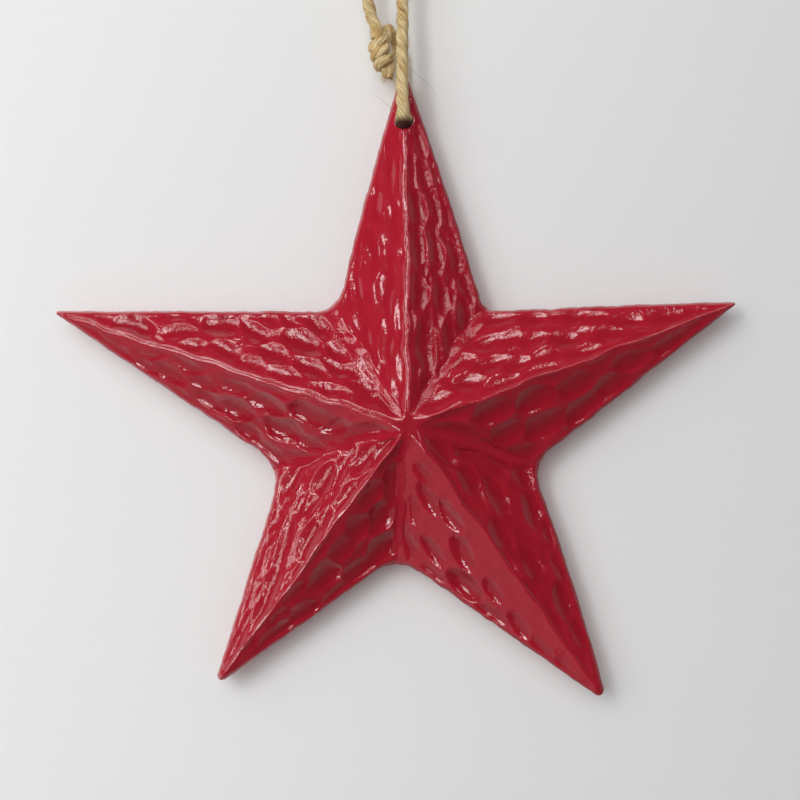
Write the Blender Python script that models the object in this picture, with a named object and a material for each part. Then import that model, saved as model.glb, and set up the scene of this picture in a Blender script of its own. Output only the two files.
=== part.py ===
"""Hand-carved wooden star ornament on a loop of jute twine.

Everything is in metres. The origin is the point that the hook or nail holds: the inside
of the loop's top. +Z is up, the carved front faces -Y and the flat back faces +Y.
"""

import math
from collections import namedtuple

import bmesh
import bpy
from mathutils import Vector
from mathutils.geometry import delaunay_2d_cdt

Corner = namedtuple("Corner", "angle reach rounding")

# How far each arm reaches from the star's peak to the corner where its edges would meet.
TOP_REACH = 0.0933
LEFT_REACH = 0.0969
LOWER_LEFT_REACH = 0.0849
LOWER_RIGHT_REACH = 0.0894
RIGHT_REACH = 0.0918
# How far the corner of each notch between two arms lies from the peak.
UPPER_LEFT_NOTCH = 0.0347
LEFT_NOTCH = 0.0342
BOTTOM_NOTCH = 0.0342
RIGHT_NOTCH = 0.0339
UPPER_RIGHT_NOTCH = 0.0354
# The radius of a worn, blunt tip and of a fine one.
BLUNT_TIP = 0.0014
FINE_TIP = 0.0005

# Directions are in degrees from +X, seen from the front. Each notch follows its arm.
ARM_TIPS = (
    Corner(angle=90.7, reach=TOP_REACH, rounding=BLUNT_TIP),
    Corner(angle=162.3, reach=LEFT_REACH, rounding=FINE_TIP),
    Corner(angle=233.6, reach=LOWER_LEFT_REACH, rounding=BLUNT_TIP),
    Corner(angle=305.8, reach=LOWER_RIGHT_REACH, rounding=BLUNT_TIP),
    Corner(angle=380.3, reach=RIGHT_REACH, rounding=FINE_TIP),
)
NOTCHES = (
    Corner(angle=122.1, reach=UPPER_LEFT_NOTCH, rounding=0.0065),
    Corner(angle=198.7, reach=LEFT_NOTCH, rounding=0.0110),
    Corner(angle=265.5, reach=BOTTOM_NOTCH, rounding=0.0090),
    Corner(angle=342.7, reach=RIGHT_NOTCH, rounding=0.0094),
    Corner(angle=415.8, reach=UPPER_RIGHT_NOTCH, rounding=0.0052),
)
# Points along each rounded corner and each straight edge of the outline, and the least
# share of its rounding that a corner keeps when the outline is moved inwards.
CORNER_STEPS = 6
EDGE_STEPS = 9
LEAST_ROUNDING_SHARE = 0.25

EDGE_THICKNESS = 0.0050
PEAK_RELIEF = 0.0190
FRONT_EASE = 0.0006
BACK_EASE = 0.0004

# The carver's gouge cuts: one scoop's length, width and depth, and the uncut land that
# stays beside the ridges, the valleys and the rim.
SCOOP_LENGTH = 0.0062
SCOOP_WIDTH = 0.0044
SCOOP_DEPTH = 0.0006
UNCUT_LAND = 0.0010
SCOOP_BORDER_SWAY = 0.125

HOLE_DIAMETER = 0.0047
HOLE_FROM_CORNER = 0.0151
HOLE_SIDES = 24
HOLE_LAND = 0.0012

TWINE_DIAMETER = 0.0032
HANG_DROP = 0.0920
# The distance between a tube's points, in twine diameters: the closer, the tighter it bends.
LOOP_STEP = 1.2
SLING_STEP = 0.5
LEAD_STEP = 0.6
END_STEP = 1.0
CURVE_STEPS = 24
# The rings of the ball that closes the sling's upper end, in degrees up the ball.
BALL_RINGS = (30.0, 60.0, 80.0)

KNOT_RADIUS = 0.0029
KNOT_GROOVE = 0.0004
KNOT_TAPER = 0.22
KNOT_TOP = Vector((-0.0058, 0.0000, -0.0705))
KNOT_BOTTOM = Vector((-0.0046, 0.0001, -0.0780))
KNOT_TURNS = 3
KNOT_SIDES = 14
KNOT_RINGS = 12

# Distances and ratios below this count as nothing.
NEGLIGIBLE = 1e-9

# Routes of the twine. The loop runs from the strand in front of the star's tip, over the
# hook and down into the knot.
LOOP_ROUTE = (
    (-0.00040, -0.00455, -0.0769),
    (-0.00040, -0.00420, -0.0720),
    (-0.00035, -0.00350, -0.0660),
    (-0.00030, -0.00280, -0.0600),
    (0.00010, -0.00200, -0.0500),
    (0.00120, -0.00120, -0.0400),
    (0.00290, -0.00060, -0.0300),
    (0.00470, -0.00020, -0.0200),
    (0.00580, 0.00000, -0.0110),
    (0.00490, 0.00000, -0.0034),
    (0.00000, 0.00000, 0.0016),
    (-0.00540, 0.00000, -0.0029),
    (-0.00800, -0.00010, -0.0110),
    (-0.00960, -0.00030, -0.0220),
    (-0.01030, -0.00050, -0.0340),
    (-0.01020, -0.00080, -0.0460),
    (-0.00960, -0.00110, -0.0570),
    (-0.00890, -0.00130, -0.0624),
    (-0.00810, -0.00140, -0.0650),
    (-0.00720, -0.00140, -0.0676),
    (-0.00690, -0.00140, -0.0702),
)
# The sling goes down the star's front, through the hole and up the back. Its first point
# is where the star tilts on the twine.
SLING_ROUTE = (
    (-0.00040, -0.00475, -0.0788),
    (-0.00040, -0.00525, -0.0806),
    (-0.00040, -0.00580, -0.0828),
    (-0.00035, -0.00640, -0.0856),
    (-0.00030, -0.00700, -0.0876),
    (-0.00020, -0.00735, -0.0892),
    (-0.00010, -0.00667, -0.0910),
    (0.00000, -0.00490, -0.0917),
    (0.00000, -0.00250, -0.09175),
    (0.00000, 0.00000, -0.09175),
    (0.00000, 0.00225, -0.0917),
    (0.00000, 0.00381, -0.09106),
    (-0.00010, 0.00447, -0.0895),
    (-0.00020, 0.00450, -0.0870),
    (-0.00030, 0.00450, -0.0840),
    (-0.00040, 0.00450, -0.0796),
)
# The lead goes on from the sling's back end, up behind the knot and over into its top.
LEAD_ROUTE = (
    (-0.00040, 0.00450, -0.0793),
    (-0.00050, 0.00450, -0.0765),
    (-0.00090, 0.00460, -0.0735),
    (-0.00190, 0.00460, -0.0703),
    (-0.00320, 0.00400, -0.0676),
    (-0.00420, 0.00270, -0.0668),
    (-0.00445, 0.00160, -0.0681),
    (-0.00445, 0.00140, -0.0702),
)
# The two cut ends, one before the other under the knot.
END_ROUTES = {
    "knot_end_front": ((-0.00470, -0.00168, -0.07845), (-0.00447, -0.00168, -0.07990)),
    "knot_end_back": ((-0.00430, 0.00188, -0.07845), (-0.00407, 0.00188, -0.07990)),
}


def clear_scene():
    for obj in list(bpy.data.objects):
        bpy.data.objects.remove(obj, do_unlink=True)


def principled(name, colour, roughness, coat=0.0):
    material = bpy.data.materials.new(name)
    material.use_nodes = True
    shader = material.node_tree.nodes["Principled BSDF"]
    shader.inputs["Base Color"].default_value = (*colour, 1.0)
    shader.inputs["Roughness"].default_value = roughness
    shader.inputs["Metallic"].default_value = 0.0
    shader.inputs["Coat Weight"].default_value = coat
    material.diffuse_color = (*colour, 1.0)
    return material


def link(obj, material, parent=None):
    """Puts the object in the scene, and keeps its place when it gets a parent."""
    bpy.context.scene.collection.objects.link(obj)
    if material:
        obj.data.materials.append(material)
    if parent:
        obj.parent = parent
        obj.matrix_parent_inverse = parent.matrix_world.inverted()
    return obj


def axis_empty(name, place):
    """An empty that marks a joint's axis."""
    empty = bpy.data.objects.new(name, None)
    empty.location = place
    empty.empty_display_size = TWINE_DIAMETER
    link(empty, None)
    bpy.context.view_layer.update()
    return empty


def polar(corner):
    """A corner's place in the plane of the star, from the peak."""
    angle = math.radians(corner.angle)
    return Vector((math.cos(angle), math.sin(angle))) * corner.reach


def hole_from_peak():
    """The hole lies on the top arm's ridge."""
    tip = polar(ARM_TIPS[0])
    return tip - tip.normalized() * HOLE_FROM_CORNER


def perpendicular(direction):
    return Vector((-direction.y, direction.x))


def meet(point_a, along_a, point_b, along_b):
    """Where two lines in the plane cross."""
    cross = along_a.x * along_b.y - along_a.y * along_b.x
    between = point_b - point_a
    return point_a + along_a * ((between.x * along_b.y - between.y * along_b.x) / cross)


def inset_corners(inset):
    """The sharp corners, tips and notches in turn, of the outline moved inwards."""
    corners = [c for pair in zip(ARM_TIPS, NOTCHES) for c in pair]
    places = [polar(c) for c in corners]
    moved = []
    for here, place in enumerate(places):
        into = (place - places[here - 1]).normalized()
        out = (places[(here + 1) % len(places)] - place).normalized()
        moved.append(
            meet(place + perpendicular(into) * inset, into, place + perpendicular(out) * inset, out)
        )
    return corners, moved


def outline(inset):
    """The star's rounded outline, anticlockwise from the top tip, moved inwards."""
    corners, places = inset_corners(inset)
    points = []
    for here, (corner, place) in enumerate(zip(corners, places)):
        before = (places[here - 1] - place).normalized()
        after = (places[(here + 1) % len(places)] - place).normalized()
        is_tip = here % 2 == 0
        radius = corner.rounding - inset if is_tip else corner.rounding + inset
        radius = max(radius, corner.rounding * LEAST_ROUNDING_SHARE)
        half = before.angle(after) / 2
        centre = place + (before + after).normalized() * (radius / math.sin(half))
        start = place + before * (radius / math.tan(half))
        end = place + after * (radius / math.tan(half))
        if points:
            last = points[-1]
            points += [last.lerp(start, k / EDGE_STEPS) for k in range(1, EDGE_STEPS)]
        turn = (start - centre).angle_signed(end - centre)
        for k in range(CORNER_STEPS + 1):
            arm = (start - centre).copy()
            angle = -turn * k / CORNER_STEPS
            arm = Vector(
                (
                    arm.x * math.cos(angle) - arm.y * math.sin(angle),
                    arm.x * math.sin(angle) + arm.y * math.cos(angle),
                )
            )
            points.append(centre + arm)
    last, first = points[-1], points[0]
    points += [last.lerp(first, k / EDGE_STEPS) for k in range(1, EDGE_STEPS)]
    return points


def share_of_peak(point, ring):
    """How far up the slope from the outline to the peak a point lies, 0 at the outline."""
    best = 0.0
    for here, b in enumerate(ring):
        a = ring[here - 1]
        cross = a.x * b.y - a.y * b.x
        if abs(cross) < NEGLIGIBLE:
            continue
        along_a = (point.x * b.y - point.y * b.x) / cross
        along_b = (a.x * point.y - a.y * point.x) / cross
        if along_a >= -NEGLIGIBLE and along_b >= -NEGLIGIBLE:
            best = max(best, 1.0 - along_a - along_b)
    return best


def scoop_points(notch, tip, hole):
    """The gouge cuts of one facet: (place, depth) for each cut's middle and border points.

    The cuts lie in rows along the arm's edge, each row half a cut further than the last.
    """
    along = (tip - notch).normalized()
    across = perpendicular(along)
    if across.dot(notch) > 0:
        across = -across
    ridge, valley = perpendicular(tip.normalized()), perpendicular(notch.normalized())
    ridge = ridge if ridge.dot(notch) > 0 else -ridge
    valley = valley if valley.dot(tip) > 0 else -valley
    sides = (
        (notch, across, FRONT_EASE + UNCUT_LAND),
        (Vector((0, 0)), ridge, UNCUT_LAND),
        (Vector((0, 0)), valley, UNCUT_LAND),
    )

    def on_facet(point):
        if (point - hole).length < HOLE_DIAMETER / 2 + HOLE_LAND:
            return False
        return all((point - start).dot(inwards) > land for start, inwards, land in sides)

    length = (tip - notch).length
    rows = int(length / SCOOP_WIDTH)
    columns = int(2 * length / SCOOP_LENGTH) + 2
    found = []
    for row in range(rows):
        middle = FRONT_EASE + UNCUT_LAND + SCOOP_WIDTH * (row + 0.5)
        for column in range(-columns // 2, columns):
            start = SCOOP_LENGTH * column / 2
            border_sway = SCOOP_WIDTH * SCOOP_BORDER_SWAY * (1 if (row + column) % 2 else -1)
            border = notch + along * start + across * (middle + SCOOP_WIDTH / 2 - border_sway)
            if on_facet(border):
                found.append((border, 0.0))
            centre = notch + along * start + across * middle
            if (row + column) % 2 == 0 and on_facet(centre):
                found.append((centre, SCOOP_DEPTH))
    return found


def line_points(end, spacing, hole):
    """Points from near the peak towards a corner, leaving out the hole's mouth."""
    count = max(2, round(end.length / spacing))
    points = [end * (k / count) for k in range(1, count)]
    return [p for p in points if (p - hole).length > HOLE_DIAMETER / 2 + HOLE_LAND]


def star_mesh():
    """The star as one closed body, with its hole's centre at the mesh's origin."""
    hole = hole_from_peak()
    rim = outline(0.0)
    brow = outline(FRONT_EASE)
    back = outline(BACK_EASE)
    count = len(rim)
    points = [(p, 0.0) for p in brow]
    edges = [(k, (k + 1) % count) for k in range(count)]
    peak = len(points)
    points.append((Vector((0, 0)), 0.0))
    corners = len(ARM_TIPS) + len(NOTCHES)
    stride = count // corners
    for corner in range(corners):
        end = corner * stride + CORNER_STEPS // 2
        last = peak
        for p in line_points(brow[end], SCOOP_LENGTH, hole):
            points.append((p, 0.0))
            edges.append((last, len(points) - 1))
            last = len(points) - 1
        edges.append((last, end))
    tips = [polar(c) for c in ARM_TIPS]
    notches = [polar(c) for c in NOTCHES]
    for here, tip in enumerate(tips):
        points += scoop_points(notches[here], tip, hole)
        points += scoop_points(notches[here - 1], tip, hole)

    flat = [p for p, _ in points]
    whole_hull = 0
    made = delaunay_2d_cdt(flat, edges, [], whole_hull, NEGLIGIBLE, True)
    depth = dict(enumerate(d for _, d in points))

    bm = bmesh.new()
    half = EDGE_THICKNESS / 2

    def vertex(point, y):
        return bm.verts.new((point.x - hole.x, y, point.y - hole.y))

    front, of_input = [], {}
    for index, (point, sources) in enumerate(zip(made[0], made[3])):
        cut = max((depth[s] for s in sources), default=0.0)
        height = half + PEAK_RELIEF * share_of_peak(point, rim) - cut
        front.append(vertex(point, -height))
        for s in sources:
            of_input[s] = index
    for face in made[2]:
        middle = sum((made[0][k] for k in face), Vector((0, 0))) / len(face)
        if share_of_peak(middle, brow) > 0:
            bm.faces.new([front[k] for k in face])
    rings = [
        [front[of_input[k]] for k in range(count)],
        [vertex(p, -(half - FRONT_EASE)) for p in rim],
        [vertex(p, half - BACK_EASE) for p in rim],
        [vertex(p, half) for p in back],
    ]
    for upper, lower in zip(rings, rings[1:]):
        for k in range(count):
            n = (k + 1) % count
            bm.faces.new((upper[k], upper[n], lower[n], lower[k]))
    bm.faces.new(rings[-1])
    bmesh.ops.recalc_face_normals(bm, faces=bm.faces)
    mesh = bpy.data.meshes.new("star_body")
    bm.to_mesh(mesh)
    bm.free()
    return mesh


def drilled(star, place):
    """Cuts the hole for the twine through the star, front to back."""
    bm = bmesh.new()
    bmesh.ops.create_cone(
        bm,
        cap_ends=True,
        segments=HOLE_SIDES,
        radius1=HOLE_DIAMETER / 2,
        radius2=HOLE_DIAMETER / 2,
        depth=2 * (EDGE_THICKNESS + PEAK_RELIEF),
    )
    mesh = bpy.data.meshes.new("hole_cutter")
    bm.to_mesh(mesh)
    bm.free()
    cutter = bpy.data.objects.new("hole_cutter", mesh)
    cutter.location = place
    cutter.rotation_euler = (math.pi / 2, 0.0, 0.0)
    cutter.hide_render = True
    cutter.display_type = "WIRE"
    link(cutter, None)
    cut = star.modifiers.new("hole", "BOOLEAN")
    cut.operation = "DIFFERENCE"
    cut.object = cutter


def smooth_curve(route):
    """Points of a Catmull-Rom curve through the route's own points."""
    route = [Vector(p) for p in route]
    ends = [route[0] * 2 - route[1], *route, route[-1] * 2 - route[-2]]
    points = []
    for p0, p1, p2, p3 in zip(ends, ends[1:], ends[2:], ends[3:]):
        for k in range(CURVE_STEPS):
            t = k / CURVE_STEPS
            points.append(
                0.5
                * (
                    2 * p1
                    + (p2 - p0) * t
                    + (2 * p0 - 5 * p1 + 4 * p2 - p3) * t**2
                    + (3 * p1 - p0 - 3 * p2 + p3) * t**3
                )
            )
    return points + [route[-1]]


def evenly(points, spacing):
    """The curve's points taken at even steps of about the spacing, both ends kept."""
    reach = [0.0]
    for a, b in zip(points, points[1:]):
        reach.append(reach[-1] + (b - a).length)
    steps = max(1, round(reach[-1] / spacing))
    taken, here = [], 0
    for k in range(steps + 1):
        want = reach[-1] * k / steps
        while here < len(points) - 2 and reach[here + 1] < want:
            here += 1
        share = (want - reach[here]) / (reach[here + 1] - reach[here])
        taken.append(points[here].lerp(points[here + 1], share))
    return taken, reach[-1]


def twine(name, route, step, material, parent=None, origin=Vector(), round_end=False):
    """Twine along a route, as a tube with closed ends, with the object's origin given.

    A round end closes the first end with a ball about the route's first point.
    """
    curve = bpy.data.curves.new(name, "CURVE")
    curve.dimensions = "3D"
    curve.bevel_depth = TWINE_DIAMETER / 2
    curve.bevel_resolution = 2
    curve.use_fill_caps = True
    points, length = evenly(smooth_curve(route), step * TWINE_DIAMETER)
    widths = [1.0] * len(points)
    if round_end:
        outwards = (points[0] - points[1]).normalized() * curve.bevel_depth
        for angle in BALL_RINGS:
            lift = math.radians(angle)
            points.insert(0, Vector(route[0]) + outwards * math.sin(lift))
            widths.insert(0, math.cos(lift))
    spline = curve.splines.new("POLY")
    spline.points.add(len(points) - 1)
    for point, place, width in zip(spline.points, points, widths):
        point.co = (*(place - origin), 1.0)
        point.radius = width
    spline.use_smooth = True
    print(f"{name}: {length * 1000:.1f} mm of twine")
    obj = bpy.data.objects.new(name, curve)
    obj.location = origin
    return link(obj, material, parent)


def knot(material):
    """The tied lump: a barrel between its top and bottom, with a groove between turns."""
    axis = KNOT_BOTTOM - KNOT_TOP
    turn = axis.to_track_quat("Z", "Y")
    bm = bmesh.new()
    rings = []
    for k in range(KNOT_RINGS + 1):
        share = k / KNOT_RINGS
        bulge = abs(math.sin(math.pi * KNOT_TURNS * share))
        taper = 1.0 - KNOT_TAPER * abs(2 * share - 1) ** 3
        radius = (KNOT_RADIUS - KNOT_GROOVE + KNOT_GROOVE * bulge) * taper
        ring = []
        for side in range(KNOT_SIDES):
            angle = 2 * math.pi * side / KNOT_SIDES
            spoke = turn @ Vector((math.cos(angle), math.sin(angle), 0.0))
            ring.append(bm.verts.new(axis * share + spoke * radius))
        rings.append(ring)
    for upper, lower in zip(rings, rings[1:]):
        for side in range(KNOT_SIDES):
            n = (side + 1) % KNOT_SIDES
            bm.faces.new((upper[side], upper[n], lower[n], lower[side]))
    bm.faces.new(rings[0])
    bm.faces.new(rings[-1])
    bmesh.ops.recalc_face_normals(bm, faces=bm.faces)
    mesh = bpy.data.meshes.new("knot")
    bm.to_mesh(mesh)
    bm.free()
    mesh.shade_smooth()
    obj = bpy.data.objects.new("knot", mesh)
    obj.location = KNOT_TOP
    return link(obj, material)


def main():
    clear_scene()
    paint = principled("red_enamel", (0.43, 0.008, 0.018), 0.25, coat=0.5)
    jute = principled("jute", (0.52, 0.40, 0.19), 0.85)

    tilt_place = Vector(SLING_ROUTE[0])
    tilt_axis = axis_empty("star_tilt_axis", tilt_place)
    twine("hanging_loop", LOOP_ROUTE, LOOP_STEP, jute)
    twine(
        "twine_sling",
        SLING_ROUTE,
        SLING_STEP,
        jute,
        parent=tilt_axis,
        origin=tilt_place,
        round_end=True,
    )
    twine("knot_lead", LEAD_ROUTE, LEAD_STEP, jute)
    knot(jute)
    for name, route in END_ROUTES.items():
        twine(name, route, END_STEP, jute)

    hole_place = Vector((0.0, 0.0, -HANG_DROP))
    star = bpy.data.objects.new("star_body", star_mesh())
    star.location = hole_place
    link(star, paint, tilt_axis)
    drilled(star, hole_place)


main()
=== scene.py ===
"""Looks of a carved, red enamelled wooden star that hangs on a loop of jute twine.

Lengths are in metres in the part's own frame: the origin is where the hook holds the loop,
+Z is up and the carved front faces -Y.
"""

import math
from collections import namedtuple

import bpy
import numpy as np
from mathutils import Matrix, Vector


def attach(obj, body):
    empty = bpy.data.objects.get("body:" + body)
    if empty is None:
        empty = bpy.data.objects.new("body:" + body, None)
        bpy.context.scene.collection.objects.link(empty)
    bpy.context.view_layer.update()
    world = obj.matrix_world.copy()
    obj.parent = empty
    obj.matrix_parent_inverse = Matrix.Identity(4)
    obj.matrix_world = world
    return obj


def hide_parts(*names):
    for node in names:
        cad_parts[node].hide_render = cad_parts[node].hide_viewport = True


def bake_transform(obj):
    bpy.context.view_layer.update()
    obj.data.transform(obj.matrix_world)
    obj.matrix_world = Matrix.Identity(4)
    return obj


bl_info = {
    "name": "Carved star on twine",
    "version": (1, 0, 0),
    "blender": (4, 5, 0),
    "location": "View3D > Sidebar > Ornament",
    "description": "Builds a gouged wooden star, its jute twine and the stage around them",
    "category": "Add Mesh",
}

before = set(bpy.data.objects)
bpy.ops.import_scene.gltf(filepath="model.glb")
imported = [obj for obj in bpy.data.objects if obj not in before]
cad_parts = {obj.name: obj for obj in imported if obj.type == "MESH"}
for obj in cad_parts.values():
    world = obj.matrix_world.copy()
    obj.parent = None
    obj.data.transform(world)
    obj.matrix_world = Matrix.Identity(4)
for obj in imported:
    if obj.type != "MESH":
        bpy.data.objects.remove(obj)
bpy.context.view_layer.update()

# The star's plan, from its peak: angle in degrees from +X seen from the front, reach and
# rounding in metres. Each notch follows its arm.
ARM_TIPS = np.array(
    [
        (90.7, 0.0933, 0.0014),
        (162.3, 0.0969, 0.0005),
        (233.6, 0.0849, 0.0014),
        (305.8, 0.0894, 0.0014),
        (380.3, 0.0918, 0.0005),
    ]
)
NOTCHES = np.array(
    [
        (122.1, 0.0347, 0.0065),
        (198.7, 0.0342, 0.0110),
        (265.5, 0.0342, 0.0090),
        (342.7, 0.0339, 0.0094),
        (415.8, 0.0354, 0.0052),
    ]
)
# The hole's middle: how far it lies from the top arm's sharp tip, and below the hook.
HOLE_FROM_CORNER = 0.0151
HANG_DROP = 0.0920

# The star's mesh.
ARC_POINTS = 17
EDGE_POINTS = 180
# The lines beside each ridge and inside the rim, by their distance from it.
RIDGE_LINES = np.array([0.0, 0.13, 0.26, 0.39, 0.54, 0.75]) * 1e-3
RIM_LINES = np.array([1.15, 0.85, 0.55, 0.30, 0.12, 0.0]) * 1e-3
# How much of a step across a facet leads away from the ridge, and towards the rim.
RIDGE_SHARE = 0.6
RIM_SHARE = 0.8
# Where along an arm every second column ends, as shares of the arm.
COARSER_FROM = (0.42, 0.70)
# Points become one where they agree when counted in this many steps to the metre.
WELDING = 1e7
# Rings of points behind the rim that belong to the side.
SIDE_RINGS = 2
DRILL_SIDES = 40
DRILL_REACH = 0.03
# An edge is sharp from this many degrees, and a face is the back's when it looks back by
# this cosine.
SHARP_FROM = 62
FACES_BACK = 0.999

WHITE = (1.0, 1.0, 1.0)
QUARTER_TURN = np.array([[0.0, -1.0], [1.0, 0.0]])

# Unevenness of a surface: how high its waves are and how long, in metres.
Wave = namedtuple("Wave", "height length")
SWELLS = Wave(0.00005, 0.0046)
RIPPLES = Wave(0.00002, 0.0015)
WORN_PEAK = Wave(0.00006, 0.0040)
# Length of the waves in which ridges and valleys wander.
WANDER_LENGTH = 0.0140
# These are uneven by shares: the outline's waver, the crests' widths and their beads of
# paint, and the strips along the valleys.
EDGE_WAVES = (Wave(1.0, 0.0110), Wave(0.5, 0.0035))
CREST_WIDTHS = Wave(0.25, 0.0060)
BEADS = Wave(0.50, 0.0040)
STRIPS = Wave(0.60, 0.0050)

# The deep cuts: how much deeper they go than their gouge's arc, how much their depths
# vary, and how far from the facet's middle any cut reaches.
EXTRA_DEPTH = 0.00012
DEEP_SPREAD = (0.85, 1.15)
CUTS_REACH = 0.075
# The shallow cuts' grid: how wide it is, how far apart they stand and how far out of line,
# along the arm and across it, as shares of their size.
WIDEST_FACET = 0.020
FILL_SPACING = 0.62
OUT_OF_LINE = (0.25, 0.20)
# How far they keep from the rim, the ridge and the valley, and from a deep cut's middle as
# a share of its size, squared.
RIM_MARGIN = 0.0008
RIDGE_MARGIN = 0.0006
VALLEY_MARGIN = 0.0004
DEEP_MARGIN = 0.8
# Half their width, half their length and their depth, as shares of what their facet says,
# how far they may turn, and how much smaller they are at the tip.
FILL_WIDTHS = (0.55, 0.85)
FILL_LENGTHS = (0.50, 0.80)
FILL_DEPTHS = (0.60, 1.30)
FILL_TURN = 0.25
FILL_SHRINK = 0.5
# A cut this deep has the darkest paint: painted shade in the cuts as well as thicker paint.
DEEP = 0.0007
# Over these widths the cuts lose their depth towards the rim and the hole, though this
# share of it is left at the rim.
CUTS_FROM_RIM = 0.0004
RIM_FADE = 0.0012
RIM_DEPTH = 0.2
HOLE_FADE = 0.0012
# How far to each side crests, valley strips and the worn peak shape the surface.
CREST_REACH = 0.0040
STRIP_REACH = 0.0015
PEAK_REACH = 0.0120
# A crest: the fall of its sides, how far its top lies under the sharp ridge as a share of
# half its width, and how far a bead falls off as a share of its height.
CREST_STEEPNESS = 1.7
CREST_CUT = 0.6
BEAD_FALL = 1.2
# How softly strips and peak run into the surface.
STRIP_FLOW = 0.00002
PEAK_FLOW = 0.00015
# A valley's strip starts this far from the peak and is whole after this much more. Before
# that it has this share of its height.
STRIP_FADE = (0.006, 0.020)
STRIP_LEAST = 0.05
# The rounded way into the hole.
MOUTH_DROP = 0.00030
MOUTH_WIDTH = 0.00060
# The wood left between the carving and the back at the very rim.
THINNEST = 0.0005
# The way in the plan that the edges with a painted highlight face, and the highlight's width; and
# the width and the grit of the strip along the rim that was painted with the side.
HIGHLIT_EDGES_FACE = (-0.6, 0.8)
HIGHLIGHT_WIDTH = 0.0007
EDGE_WIDTH = 0.0004
SIDE_GRIT = 0.5

# Each arm's uncut crest: half its width, and the place and height of the beads of paint
# that dried along it, in metres.
Crest = namedtuple("Crest", "half bead_place bead_height")
CRESTS = (
    Crest(0.00060, 0.0, 0.000025),
    Crest(0.00080, 0.00050, 0.000160),
    Crest(0.00028, 0.0, 0.000024),
    Crest(0.00024, 0.0, 0.000060),
    Crest(0.00030, 0.0, 0.000030),
)

# How high the flat strip left along the bottom of each valley stands, in metres.
VALLEY_STRIPS = (0.00030, 0.00010, 0.00008, 0.00008, 0.00024)

# Facets: which arm and notch they lie between, the width, length and depth of a shallow
# cut that fills the room between the deep ones, the radius of the gouge that made the deep
# ones, how far a cut's run-out is longer than its entry, how gritty the paint is, and how
# far the outer edge bows outwards.
Facet = namedtuple("Facet", "name arm notch width length depth gouge skew grit bow")
FACETS = (
    Facet("top_left", 0, 0, 0.0030, 0.0200, 0.00014, 0.0072, 0.0, 0.25, 0.0004),
    Facet("top_right", 0, 4, 0.0026, 0.0070, 0.00040, 0.0040, 0.1, 0.9, 0.0005),
    Facet("left_upper", 1, 0, 0.0020, 0.0070, 0.00010, 0.0058, 0.1, 0.8, 0.0),
    Facet("left_lower", 1, 1, 0.0030, 0.0075, 0.00035, 0.0038, 0.1, 0.8, 0.0),
    Facet("low_left_outer", 2, 1, 0.0026, 0.0075, 0.00020, 0.0046, 0.1, 0.75, 0.0),
    Facet("low_left_inner", 2, 2, 0.0036, 0.0060, 0.00050, 0.0042, 0.25, 0.6, 0.0),
    Facet("low_right_inner", 3, 2, 0.0036, 0.0080, 0.00010, 0.0032, 0.2, 0.8, 0.0),
    Facet("low_right_outer", 3, 3, 0.0036, 0.0080, 0.00040, 0.0050, 0.2, 0.7, 0.0006),
    Facet("right_lower", 4, 3, 0.0036, 0.0075, 0.00040, 0.0049, 0.25, 0.6, 0.0),
    Facet("right_upper", 4, 4, 0.0022, 0.0090, 0.00010, 0.0056, 0.1, 0.8, 0.0003),
)

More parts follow.
